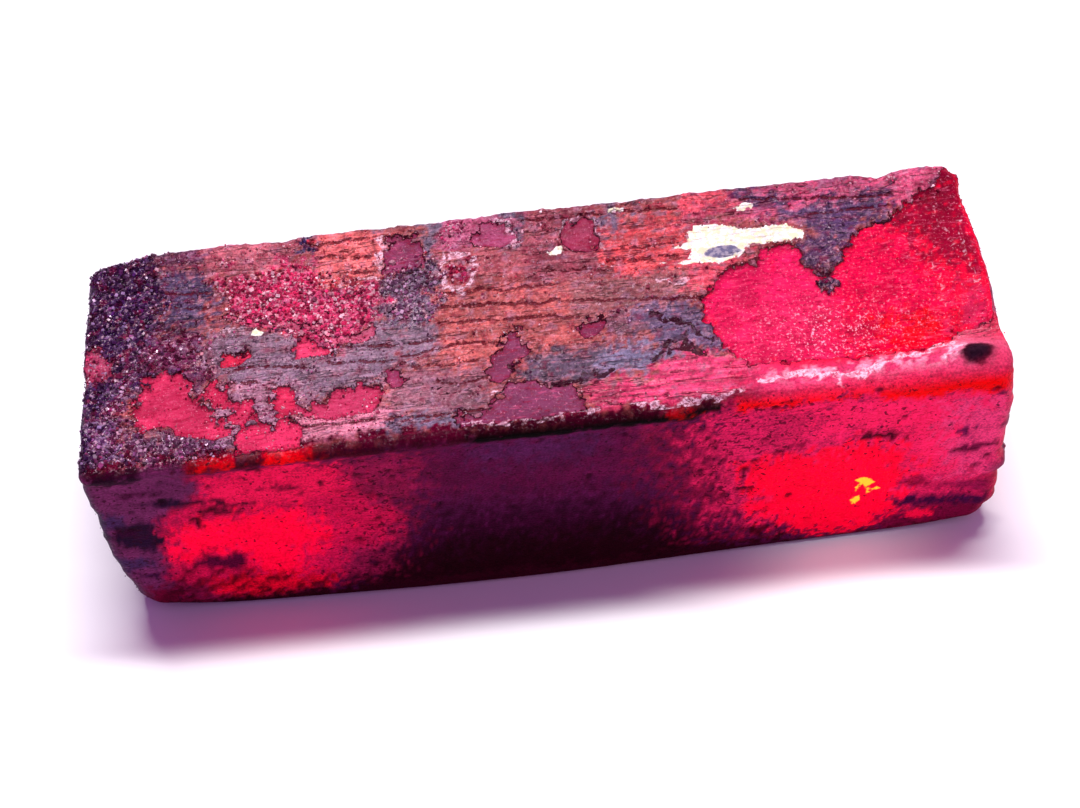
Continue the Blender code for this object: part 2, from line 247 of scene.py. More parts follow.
# Tints inside the large window on the right: (colour, softness of the edge, outline).
CLEAR_TINTS = (
    ((206, 26, 78), 1.4, (9, 4, 9, -6, 17, -6, 17.4, 0, 16, 4)),
    ((212, 32, 80), 1.6, (9.6, -5.4, 9.8, -2, 11.6, -1, 16.2, -0.8, 18.6, -3, 16.4, -5.2)),
    ((208, 6, 62), 1.2, (16.4, 0.2, 18, 3.4, 21, 3.8, 21.8, 1.4, 22.6, -1.6, 22.4, -4, 18.4, -4.8,
        16.8, -2.6)),
    ((228, 0, 28), 0.8, (18.8, -2.6, 21.4, -2.2, 22.4, -3.6, 21, -4.9, 18.8, -4.9)),
    ((132, 6, 42), 1.6, (20.4, 3.9, 21.6, 5.4, 24.6, 7, 26, 7, 26, -2.4, 24.4, -1.8, 23.2, 0.6, 21.8, 1.8)),
    ((200, 32, 76), 1.0, (23.4, -1.4, 26, -1, 26, -6.5, 23, -5)),
    ((104, 6, 36), 0.9, (21.8, 5.2, 24.6, 7.2, 25.6, 5.4, 23.6, 4.6)),
)

# Smooth plates a little below the crust, with a dark line round them, painted shadow of the crust's edge:
# (colour, outline).
PLATES = (
    ((112, 36, 64), (-4.9, -6.2, -4.3, -5.95, -3.7, -6.3, -3.1, -6.1, -2.8, -5.5, -2, -5.2, -2, -4.5,
        -1.2, -4.3, -0.3, -4.4, 0.5, -4.6, 1.2, -5, 1.7, -5.2, 2.3, -6, 2, -6.9, -4.5, -6.9)),
    ((112, 36, 62), (-2.8, -3.4, -2.4, -2.6, -1.8, -1.3, -1.5, -0.9, -1, -0.8, -0.8, -1.4, -0.5, -2.4,
        -1.2, -3, -1.3, -3.9, -2, -4.2, -2.8, -4.1)),
    ((150, 42, 68), (-25.2, 1.1, -24.2, 1.1, -23.6, 0.2, -23.3, -0.9, -24.1, -1.3, -25.2, -1.3)),
    ((200, 84, 112), (-17.4, 2.3, -16.1, 1.8, -14.5, 1.6, -12.5, 1.15, -10.9, 0.1, -9.8, -0.15, -8.8, 0.35,
        -8.5, 0.05, -9.1, -0.5, -9.9, -0.7, -11, -0.4, -12.5, 0.7, -14.5, 1.15, -16.1, 1.45)),
    (WINE, (2.3, -1.2, 2.8, -0.8, 3.4, -0.5, 4.1, -1.1, 3.6, -1.7, 2.9, -2, 2.4, -1.8)),
    ((142, 34, 60), (2, 4.7, 2.2, 5.8, 2.9, 6.1, 3.9, 6.1, 4, 4.1, 2.8, 4.1)),
    ((142, 50, 80), (-2.9, 5.1, -2.6, 6, -1.9, 6.9, -1.4, 6.4, -1, 6, -0.6, 5.4, -0.4, 5.1, -1.5, 4.95)),
    ((122, 34, 66), (-8.1, 5.6, -7.7, 6.3, -6.3, 6.2, -5.9, 5.3, -5.9, 4.3, -6.6, 3.95, -8.2, 4)),
    ((132, 38, 68), (-8.4, -2.9, -7.5, -2.8, -7.2, -3.6, -7.6, -3.9, -8.4, -3.8)),
)

# Where the surface is granular like sugar: (amount, outline).
SUGARY = (
    (1.0, (-26, 8, -21, 8, -20.6, 5, -21, 3, -20.5, 1.8, -19.5, 0.8, -18.2, 1.6, -17.8, 0.4, -18.2, -2.8,
        -19, -1.2, -21.2, -0.8, -22.2, -2.6, -22.2, -5.2, -21, -5.6, -18, -5.8, -17, -7.5, -26, -7.5)),
    (1.0, (-16.8, 1.6, -17.4, 3.2, -17.8, 4.8, -14, 5.4, -11, 4, -8.4, 3.4, -8.2, 1.2, -10.5, -0.6,
        -13, 0.2, -15.8, 1.5)),
    (1.0, (-8.3, 4.9, -5, 4.9, -5, 0.2, -8.3, 0.3)),
    (1.0, (-4.7, 3.4, -4.5, 4.2, -4, 4.45, -3.5, 4.2, -3.3, 3.5, -4, 2.7)),
    (0.8, (-4.8, 7.2, -2.8, 7.2, -2.8, 5.8, -4.8, 5.8)),
    (0.8, (-13.3, 7.6, -13.2, 6.2, -12.6, 5.7, -11.9, 6.4, -11.7, 7.6)),
    (0.7, (15.8, 0.2, 16.9, 0.2, 16.8, -1, 16, -0.9)),
    (0.6, (15.2, 3.6, 18.6, 3.2, 17.2, 0.8, 15.4, 1.2)),
    (0.7, (-10, -3.9, -9, -3.9, -9, -5.2, -10, -5.2)),
)

# White deposit, as outlines, and the pale rims of broken crust with painted highlights along the front
# edge: (half width, path).
DEPOSITS = (
    (9.2, 2.2, 9.25, 4.2, 9.5, 4.9, 12, 4.55, 12.2, 4.25, 14.8, 4.3, 15.1, 4, 15.55, 3.7, 15.5, 3.2,
     15, 3.1, 13.2, 3.1, 12.5, 3.2, 12.2, 2.9, 11.9, 2.5, 11, 2.2, 10.4, 2.2),
    (12, 5.75, 12.5, 5.85, 13.1, 5.8, 12.9, 5.6, 12.4, 5.5),
    (-15.8, 1.05, -15.3, 1.1, -15.05, 0.8, -15.3, 0.45, -15.7, 0.6),
    (0.9, 4.35, 1.3, 4.2, 1.9, 4.5, 2.1, 4.15, 1.6, 3.95, 1.2, 4.05),
    (4.8, 6.55, 5.6, 6.5, 5.6, 6.3, 4.9, 6.3),
    (8.2, 3.6, 9.3, 3.75, 9.3, 3.3, 8.6, 3.4),
    (7.4, 2.55, 9.3, 2.5, 9.3, 2.2, 8.4, 2.35),
)
RIMS_AND_HIGHLIGHTS = (
    # painted highlights along the crest of the worn front edge
    (0.15, (11.6, -6.1, 12.8, -6, 14.2, -6, 15.2, -6.1, 16.2, -6.4, 17.3, -6.3, 18.2, -5.8, 19.5, -5.5,
        20.8, -5.4, 21.7, -5, 22.5, -4.8)),
    (0.2, (21.8, -5.9, 22.2, -5.4, 22.9, -5.1)),
    (0.02, (24.3, 3.5, 24.2, 0.8, 24.6, -1.3)),
    (0.02, (23, 4.9, 23.3, 3.2, 23.9, 1.9)),
    (0.02, (22.2, 0.9, 22.7, -0.8, 22.5, -2.4)),
    # painted highlights along the front edge
    (0.05, (-4.4, -6.6, -2, -6.9, 0.9, -6.95, 3, -6.95)),
    (0.07, (4.6, -6.85, 6.6, -6.95)),
    (0.1, (6.9, -6.9, 9.3, -6.85, 10.6, -6.6)),
    (0.2, (-8.2, 6.2, -8.3, 5.6, -8.45, 4.7)),
    (0.09, (-10.25, 3.3, -9.7, 3.85, -8.6, 3.75)),
    (0.05, (-17.3, 1.2, -16.6, 1.15, -15.9, 1)),
    (0.08, (-1.9, 6.9, -1.2, 6.35, -0.85, 5.7, -0.35, 5.15, -0.9, 5)),
    (0.12, (-3.25, 3, -3, 3.8, -3.4, 4.65, -4.3, 4.8, -4.95, 4.2, -5.05, 3.3, -4.7, 2.55, -4, 2.25,
        -3.45, 2.5, -3.25, 3)),
    (0.06, (2, 5.3, 2.25, 6, 2.9, 6.15)),
    (0.05, (4.1, 5.9, 4.1, 4.9, 4.4, 4.1)),
    (0.06, (7.1, 1.25, 8, 1.15, 8.9, 1.1)),
    (0.09, (-2.7, -5, -2.1, -4.9)),
)

# Dark cracks and ledge shadows that follow no window: (half width, path).
CRACKS = (
    (0.06, (-21.1, 2.4, -20.3, 1.7, -19.4, 1.35, -18.7, 2.1, -18.1, 2.4)),
    (0.07, (-17.4, -0.3, -16.8, -0.15, -16.2, -0.45)),
    (0.08, (-1.3, -3, -1.35, -3.9)),
    (0.1, (0.2, -4.5, 1, -4.9, 1.6, -4.9, 2.4, -4.4, 3.6, -4.5, 4.1, -4.3)),
    (0.1, (6.2, -3.9, 6.8, -3.5, 7.3, -2.6, 8, -2.7, 8.6, -3.4, 9, -4)),
    (0.1, (7.2, -3.3, 8.1, -3.3, 8.6, -3.8)),
    (0.09, (6.6, -1, 7.6, -1.5, 8.6, -2, 9.4, -3)),
    (0.06, (-8.2, 3.85, -7.4, 3.95, -6.6, 3.75)),
    (0.06, (-6, 4, -5.7, 3.6, -5.6, 3.2)),
    (0.05, (-5.8, -4, -5.4, -4.5)),
    (0.06, (16.2, 0.9, 16.6, 0.55, 17, 0.7)),
    (0.05, (18.6, 3.3, 19.5, 3.75, 20.7, 4.1, 21.3, 4.6)),
)

# The long grooves of the striations: (half width, path).
GROOVES = (
    (0.07, (-5, 2.15, -2, 2.05, 1.5, 1.85)),
    (0.07, (-5.2, 1.15, -1, 0.95, 5, 0.35, 9.8, -0.25)),
    (0.06, (-5.2, 0.1, -1, -0.15, 2.5, -0.5)),
    (0.07, (-11.5, -1.75, -8, -2.1, -4.5, -1.45, -2, -1.6)),
    (0.06, (-10.4, -0.8, -8, -0.95, -5.6, -1)),
    (0.06, (-7.4, -2.4, -5, -2.7, -2.8, -2.75)),
    (0.06, (-5.6, -3.75, -3.8, -3.95, -2.8, -3.9)),
    (0.06, (-12.8, -5.8, -9, -5.85, -6, -6, -3.2, -5.85)),
    (0.05, (-17.2, -1.5, -14.6, -1.6, -12.4, -1.9)),
    (0.05, (-17.2, -2.3, -15.6, -2.5, -13.6, -2.9)),
    (0.05, (-20.6, 4.3, -18.2, 4.1)),
    (0.05, (-20.8, 3.3, -18, 2.9)),
    (0.05, (-12.2, 6.3, -8.4, 6.45)),
    (0.05, (-11.9, 5.5, -8.4, 5.3)),
    (0.05, (-11.2, 4.4, -8.6, 4.2)),
    (0.05, (0, 6.3, 4.6, 6.35, 8.8, 6.05)),
    (0.05, (1.8, 5, 2, 4.2, 4.8, 3.9, 8.6, 3.9)),
    (0.05, (4.4, 3.1, 8.4, 3)),
    (0.05, (0.6, 3.1, 4.2, 2.6)),
    (0.05, (12.4, 6.2, 16, 5.9, 21, 5.4)),
    (0.05, (15.8, 4.9, 20.6, 4.8)),
)

# ---- what is where on the other faces
# Broad tints of the front, in x and z: (colour, softness of the edge, outline). They are painted light that
# comes through the crystal from the bare windows above: bright red where it glows, dark where little comes
# through.
FRONT_TINTS = (
    ((84, 24, 66), 0.5, (-30, -2, 30, -2, 30, 18, -30, 18)),
    ((100, 22, 66), 3.0, (-10, 18, -9, 8, -4, 9, 3, 8.4, 8, 9, 9, 18)),
    ((56, 8, 40), 3.0, (-13, -3, -13, 5.6, -6, 7.4, 2, 7.4, 9, 5.4, 11, -3)),
    ((40, 0, 20), 2.2, (-14, -3, -12.6, 3.2, -6, 4.4, 4, 4.4, 9, 3, 11.5, -3)),
    # a violet painted sheen high in the middle
    ((90, 36, 80), 2.0, (-4.5, 14.6, 3, 14.6, 2, 12, -3.5, 12)),
    ((116, 30, 70), 1.4, (4.4, 14, 6.6, 14, 6.2, 12.2, 4.8, 12.2)),
    # the glow on the left
    ((150, 28, 72), 2.0, (-21.5, 15.5, -22.6, 10, -23.2, 4, -22.4, -0.6, -10.8, 2.4, -8.8, 5.6, -8, 9,
        -7, 13, -9, 15)),
    ((196, 20, 70), 1.2, (-19, 14.2, -20.2, 11.7, -21.6, 11, -22.3, 8.8, -22.8, 5.7, -22.6, 3.6, -18, 0.6,
        -13.6, 1.2, -12.2, 4.6, -9.6, 5.8, -9, 8.4, -10.4, 10.2, -11.2, 13.4, -13.2, 15, -15.6, 14.8)),
    ((216, 24, 72), 0.9, (-18.2, 13.9, -15.5, 14.6, -13.4, 14.8, -11.6, 13.5, -11.8, 11, -14.5, 10.5,
        -16.9, 10.7, -19.6, 11.3)),
    ((255, 2, 56), 1.3, (-19.3, 9.6, -17.1, 9.9, -14.3, 9.9, -13.2, 8.2, -13, 6.8, -14.8, 4.6, -15.2, 3,
        -16, 2.2, -17.5, 3.7, -18.5, 6.2, -21.1, 5.5, -22.2, 6, -21.4, 8.4)),
    ((214, 8, 44), 0.8, (-20.6, 3, -17.2, 3.6, -13.4, 2.4, -14, 1.3, -18.4, 0.6, -20.8, 1.6)),
    # the glow on the right
    ((140, 22, 64), 2.6, (6, 14.6, 5.8, 9, 7.6, 3.6, 11, 1, 26, 0, 26, 15, 8, 15)),
    ((204, 32, 82), 1.8, (8.2, 16.4, 8.6, 10.6, 9.2, 4.8, 11.4, 2.2, 26, 2.6, 26, 16.4)),
    ((232, 34, 86), 1.4, (12.5, 14.8, 15.5, 12.6, 15, 11.4, 19.4, 10.8, 20.4, 6, 26, 5.6, 26, 14.6)),
    ((250, 4, 50), 1.0, (10.9, 9.1, 13.1, 9.7, 15.5, 9.3, 17.5, 10.6, 19.7, 9.2, 20.4, 6.1, 19.8, 2.2,
        17.1, 0.8, 14.2, 1.2, 12.6, 2.5, 11.4, 4.4, 11, 6.4)),
    ((204, 32, 84), 0.8, (8.6, 14.4, 12.6, 13.8, 13.6, 12.4, 12.4, 11.2, 9.6, 11.6)),
    ((214, 56, 106), 1.2, (22, 12.6, 26, 14.4, 26, 5.4, 22.8, 5.6)),
    # the band along the top edge: bright red painted glow where the edge is thin, and a near-black painted
    # shadow under the overhanging lip in the middle
    ((74, 6, 30), 0.45, (-23, 18, -23, 14.9, -9, 14.8, -9, 18)),
    ((170, 0, 20), 0.5, (-20.4, 18, -19.4, 15, -17.8, 15, -16.8, 15.4, -16.2, 18)),
    ((214, 0, 18), 0.4, (-19.4, 18, -18.6, 15.2, -17.2, 15, -16.6, 15.4, -17.4, 18)),
    ((226, 0, 18), 0.6, (-15.8, 18, -14.8, 14.8, -13.4, 15, -12.2, 15.6, -13.6, 18)),
    ((66, 6, 32), 0.5, (-12.4, 18, -9.6, 15, -4, 14.8, -4, 18)),
    ((14, 0, 8), 0.35, (-4.2, 18, -4.2, 14.55, 9.4, 14.7, 9.4, 18)),
    ((170, 0, 14), 0.4, (6.6, 18, 6.8, 15.3, 8.3, 15.2, 8.6, 18)),
    ((232, 0, 14), 0.35, (9.8, 18, 10.6, 14.6, 16.4, 14.9, 20, 14.1, 26, 14, 26, 18)),
    # the dark left border
    ((118, 48, 92), 0.7, (-26, 18, -26, -2, -23, -2, -23, 5.2, -22.8, 8, -22.2, 10, -20.3, 12, -19.4, 13.2,
        -19.6, 15, -23, 18)),
    ((76, 46, 88), 0.5, (-25.4, 11.2, -23.8, 11, -24, 9.9, -25.4, 10)),
    ((74, 46, 86), 0.5, (-25.2, 6.6, -23.6, 6.4, -23.8, 5.2, -25.2, 5)),
    ((44, 18, 48), 0.4, (-24.6, 9.9, -22.4, 9.8, -22.3, 7.6, -23.4, 7.2, -25.2, 8)),
    ((72, 10, 44), 0.2, (-20.6, 11.9, -18.6, 11.7, -17, 11.1, -16.6, 10.8, -18.6, 11.2, -20.4, 11.5)),
    ((112, 12, 48), 0.2, (-16.6, 12, -14.6, 12.2, -12.4, 12, -12.6, 11.8, -14.8, 11.9)),
    ((84, 24, 62), 0.25, (-24.6, 12.8, -22.4, 13.2, -20.6, 12.9, -22.6, 12.7)),
    ((60, 14, 50), 0.25, (-24.8, 8.9, -23, 9.2, -22.3, 8.9, -23.6, 8.6)),
    ((60, 18, 56), 0.25, (-24.6, 4.4, -23.4, 4.6, -22.6, 4.2, -23.8, 4)),
    ((46, 18, 48), 0.3, (-22.8, 12, -21.4, 12.4, -20.2, 11.8, -20.4, 11.3, -21.8, 11.6)),
    ((118, 14, 52), 0.8, (-24.6, -1, -24.6, 3, -22.4, 2.6, -20.5, -1)),
    ((44, 10, 36), 0.5, (-24.8, 16.5, -24.6, 14.4, -22, 14.4, -21.8, 15.6)),
    # dark patches
    ((92, 12, 52), 0.35, (-20.2, 6.5, -19.6, 5.7, -18.3, 5.4, -18, 4.2, -18.8, 3.8, -20, 4.6, -21.2, 4.8,
        -21.4, 5.2, -20.4, 5.6)),
    ((120, 16, 50), 0.25, (-19.8, 10.9, -19, 10.8, -17.6, 11, -17.3, 10.2, -18.6, 10.1, -19.4, 10.2)),
    ((80, 8, 36), 0.15, (-20.6, 10, -20, 9.9, -19.7, 9, -20.2, 9.2)),
    ((60, 10, 36), 0.3, (-16.3, 14.9, -15.4, 14.9, -15.4, 14.1, -16.2, 14.1)),
    ((92, 6, 38), 0.3, (17.4, 10.9, 18.4, 11.1, 19.4, 10.7, 19.2, 10.1, 17.9, 10.2)),
    ((140, 16, 56), 0.3, (12.4, 10.2, 13.9, 10.6, 14.1, 10.1, 12.8, 9.9)),
    ((104, 18, 72), 0.3, (22.4, 10.2, 23.1, 10.6, 23.9, 10.4, 23.6, 9.8, 22.7, 9.8)),
    ((112, 16, 60), 0.2, (22.6, 8.3, 23.1, 8.5, 23.6, 8.7, 24.9, 8.8, 24.7, 8.3, 23.2, 8)),
    ((148, 16, 60), 0.3, (20, 5.6, 21.2, 6, 21.5, 5.2, 20.4, 4.9)),
    ((150, 24, 72), 0.4, (21.6, 5, 25.6, 5.2, 25.6, 3.6, 23.4, 3.9)),
    ((134, 20, 64), 0.6, (21.8, 2.9, 25.8, 3.2, 25.8, -2, 18.4, -2, 18.8, 1.2)),
    ((70, 18, 62), 0.3, (20, 3.8, 22.6, 3.6, 25.2, 3.4, 25.2, 2.4, 21.8, 2.9, 20.2, 2.8)),
    ((226, 16, 60), 0.3, (20.2, 2, 21, 2.5, 22, 2.2, 21.8, 1.3, 20.6, 1.3)),
    ((78, 2, 30), 0.4, (11, 2.4, 12.2, 2.3, 12.3, 1.2, 11.2, 1)),
    ((56, 8, 28), 0.5, (-24, 1, -13, 1, -9, 1.4, 14.4, 1, 14.6, -2, -24, -2)),
    ((80, 2, 34), 0.4, (14, 0.5, 26, 0.5, 26, -2, 14, -2)),
)

# Slanting dark smears low in the left glow: (x, z, half length, half width).
SMEARS = (
    (-22.2, 3.6, 0.9, 0.28), (-21.2, 2.9, 1.0, 0.3), (-21.6, 4.3, 0.6, 0.22), (-20.6, 2.2, 0.9, 0.25),
    (-20.0, 3.8, 0.5, 0.2), (-19.3, 2.9, 0.8, 0.24), (-18.8, 1.9, 0.8, 0.2), (-18.2, 3.4, 0.7, 0.22),
    (-17.8, 1.6, 0.7, 0.2), (-17.2, 2.6, 0.8, 0.2), (-16.6, 1.5, 0.6, 0.18), (-16.1, 2.9, 0.6, 0.16),
    (-15.4, 1.8, 0.7, 0.22), (-14.2, 1.7, 0.8, 0.3), (-22.8, 2.2, 0.8, 0.3), (-21.9, 1.6, 0.7, 0.26),
)

# Dark specks and pits in the front face: (x, z, radius).
PITS = (
    (-20.0, 9.8, 0.3), (-21.4, 12.1, 0.3), (-18.9, 10.7, 0.3), (-10.1, 10.4, 0.28), (-9.7, 10.2, 0.2),
    (-10.5, 12.5, 0.25), (-8.8, 12.5, 0.18), (-8.7, 11.9, 0.2), (-7.6, 11.2, 0.16), (-6.4, 8.6, 0.18),
    (-5.3, 9.7, 0.18), (-10.0, 7.7, 0.25), (-11.4, 5.7, 0.3), (-2.4, 7.5, 0.24), (-3.2, 12.6, 0.16),
    (-0.3, 14.0, 0.18), (0.3, 12.1, 0.14), (4.2, 13.6, 0.2), (2.1, 9.8, 0.18), (6.1, 9.1, 0.16),
    (6.7, 9.9, 0.14), (10.6, 6.6, 0.34), (11.2, 6.6, 0.2), (10.8, 8.7, 0.26), (9.2, 8.4, 0.18),
    (9.0, 7.5, 0.18), (8.6, 6.2, 0.2), (9.6, 6.2, 0.2), (13.4, 5.4, 0.2), (12.1, 4.2, 0.22),
    (12.8, 4.9, 0.16), (8.3, 9.0, 0.2), (9.6, 9.9, 0.22), (11.4, 9.5, 0.22), (11.9, 11.7, 0.2),
    (12.5, 11.8, 0.2), (11.0, 10.8, 0.16), (10.1, 10.8, 0.16), (12.4, 14.6, 0.24), (18.0, 15.0, 0.22),
    (18.2, 10.6, 0.3), (18.9, 10.5, 0.24), (22.9, 8.2, 0.24), (24.6, 7.4, 0.2), (24.0, 6.7, 0.18),
    (22.7, 11.5, 0.14), (19.6, 12.3, 0.14), (15.9, 9.2, 0.14), (-23.7, 9.4, 0.28), (-22.7, 8.0, 0.28),
    (-24.4, 9.4, 0.2), (-23.3, 11.2, 0.2), (-13.8, 11.2, 0.16), (-16.4, 10.8, 0.16), (-12.6, 12.2, 0.18),
    (-24.9, 7.2, 0.22), (-22.9, 10.4, 0.2), (-18.6, 13.2, 0.14), (24.4, 14.3, 0.24), (12.6, 10.1, 0.2),
)

# Yellow inclusions that show through the front face, in x and z.
INCLUSIONS = (
    (17.1, 6.3, 17.6, 6.45, 17.95, 6.3, 18.4, 5.75, 18, 5.6, 17.85, 5.3, 17.65, 5.75),
    (17.05, 4.1, 17.2, 4.35, 17.45, 4.4, 17.6, 4.15, 17.45, 3.75, 17.2, 3.6, 17.05, 3.75),
    (18.1, 5.2, 18.5, 5.25, 18.9, 4.9, 18.6, 4.85),
    (17.9, 5.1, 18.05, 5.1, 18.1, 4.6, 17.95, 4.6),
    (17.25, 5.5, 17.4, 5.45, 17.35, 5, 17.25, 5.1),
)

# Lumps that stand out of the faces: (middle, half sizes, height).
LUMPS = (
    ((23.3, -5.7, 15.6), (1.0, 0.75, 1.2), 0.42),
    ((23.1, 6.6, 15.6), (1.5, 0.8, 1.6), 0.3),
    ((25.2, -6.2, 12.6), (1.2, 1.6, 3.2), 0.35),
    ((25.2, -6.3, 6.3), (1.2, 0.9, 0.6), 0.75),
    ((25.2, -6.6, 3.0), (1.0, 1.4, 1.6), 0.3),
    ((-25.0, -4.6, 8.2), (1.0, 2.6, 2.6), 0.25),
)

# Bare windows in the back face, in x and z.
BACK_WINDOWS = (
    (-19.6, 4.9, -17.4, 4.1, -15.2, 4.6, -12.2, 4.2, -10.4, 5.3, -12.6, 6.4, -14.4, 6.1, -16.6, 7.2),
    (-6.2, 9.6, -3, 8.9, 0.4, 9.3, 3.2, 8.6, 5.6, 9.5, 3.8, 11, 0.6, 10.5, -2.8, 11.6),
    (9.6, 3.2, 12.8, 2.6, 16.4, 3.4, 20.6, 2.8, 22.2, 5, 18.8, 5.6, 16.2, 7.4, 13, 5.2),
)


# ---- the block
def add_side(place, turn, size, counts):
    """One side of the block, as a grid primitive."""
    bpy.ops.mesh.primitive_grid_add(x_subdivisions=counts[0], y_subdivisions=counts[1], size=1.0,
                                    location=place, rotation=turn)
    side = bpy.context.object
    side.scale = (size[0], size[1], 1.0)
    bpy.ops.object.transform_apply(location=True, rotation=True, scale=True)
    return side


def gridded_block(name):
    """Six grid primitives joined into a closed block at the prism's size. The foot is coarser."""
    half, quarter = math.pi, math.pi / 2
    length, width, height = LENGTH * MM, WIDTH * MM, HEIGHT * MM
    nx, ny, nz = SEGMENTS
    bpy.ops.object.select_all(action="DESELECT")
    sides = [
        add_side((0, 0, height), (0, 0, 0), (length, width), (nx, ny)),
        add_side((0, -width / 2, height / 2), (quarter, 0, 0), (length, height), (nx, nz)),
        add_side((0, width / 2, height / 2), (-quarter, 0, 0), (length, height), (nx, nz)),
        add_side((length / 2, 0, height / 2), (quarter, 0, quarter), (width, height), (ny, nz)),
        add_side((-length / 2, 0, height / 2), (quarter, 0, -quarter), (width, height), (ny, nz)),
    ]
    add_side((0, 0, 0), (half, 0, 0), (length, width), (nx // FOOT_COARSER, ny // FOOT_COARSER))
    bpy.ops.object.mode_set(mode="EDIT")
    bpy.ops.mesh.select_mode(type="EDGE")
    bpy.ops.mesh.select_all(action="DESELECT")
    bpy.ops.mesh.select_non_manifold(use_boundary=True)
    bpy.ops.mesh.subdivide(number_cuts=FOOT_COARSER - 1)
    bpy.ops.object.mode_set(mode="OBJECT")
    for side in sides:
        side.select_set(True)
    bpy.ops.object.join()
    block = bpy.context.object
    block.name = name
    bpy.ops.object.mode_set(mode="EDIT")
    bpy.ops.mesh.select_all(action="SELECT")
    bpy.ops.mesh.remove_doubles(threshold=1e-6)
    bpy.ops.mesh.select_mode(type="VERT")
    bpy.ops.object.mode_set(mode="OBJECT")
    return block


def crowd_to_edges(values, size, amount):
    """Moves evenly spaced lines towards both sides of the block."""
    t = values / size
    return size * (t - amount * np.sin(2 * np.pi * t) / (2 * np.pi))


def rounded(p):
    """The points of the rounded block for those of the sharp one, and the way out from there."""
    radius = np.full(len(p), EDGE_RADIUS)
    for corner, reach, there in SOFT_CORNERS:
        radius += (there - EDGE_RADIUS) * knoll(p, corner, reach)
    radius = radius[:, None]
    core = np.clip(p, LOW + radius, HIGH - radius)
    out = p - core
    out /= np.linalg.norm(out, axis=1)[:, None] + 1e-12
    return core + radius * out, out


def striae(across, along, seed):
    """Ridges and grooves along the prism, sharper in the grooves, about -1 to 1."""
    flat = np.zeros(len(across))
    wander = 0.35 * cloud(np.stack([along, across, flat], 1), (0.09, 0.3, 1.0), seed, 1)
    fine = cloud(np.stack([along, across + wander, flat], 1), (0.02, 2.3, 1.0), seed + 3, 2)
    wave = np.cos(2.0 * np.pi * RIDGES * (across + wander))
    return 0.3 - 0.6 * np.clip(-wave, 0.0, 1.0) ** RIDGE_SHARPNESS + 0.9 * fine


# ---- the skin
# The functions below share s, which holds an array over the points of the surface under each name.
def skin_of(sharp):
    """The rounded surface, how far it faces each way, and the noise that outlines wander by."""
    s = SimpleNamespace()
    s.place, s.out = rounded(sharp)
    s.x, s.y, s.z = s.place.T
    s.top, s.foot = np.clip(s.out[:, 2], 0.0, 1.0) ** 2, np.clip(-s.out[:, 2], 0.0, 1.0) ** 2
    s.back, s.front = np.clip(s.out[:, 1], 0.0, 1.0) ** 2, np.clip(-s.out[:, 1], 0.0, 1.0) ** 2
    s.end = s.out[:, 0] ** 2
    s.wide_u, s.wide_v = cloud(s.place, WIDE, 1, 3), cloud(s.place, WIDE, 2, 3)
    s.fine_u, s.fine_v = cloud(s.place, FINE, 3, 2), cloud(s.place, FINE, 4, 2)
    s.mid_u, s.mid_v = cloud(s.place, MID, 13, 3), cloud(s.place, MID, 14, 3)
    s.grit = s.fine_u + 0.8 * s.mid_v
    s.tint_x = s.x + 0.9 * s.wide_u + 0.5 * s.mid_u + 0.14 * s.fine_u
    s.tint_y = s.y + 0.5 * s.wide_v + 0.4 * s.mid_v + 0.14 * s.fine_v
    s.edge_x = s.x + 0.3 * s.wide_u + 0.3 * s.mid_u + 0.16 * s.fine_u
    s.edge_y = s.y + 0.2 * s.wide_v + 0.26 * s.mid_v + 0.16 * s.fine_v
    return s


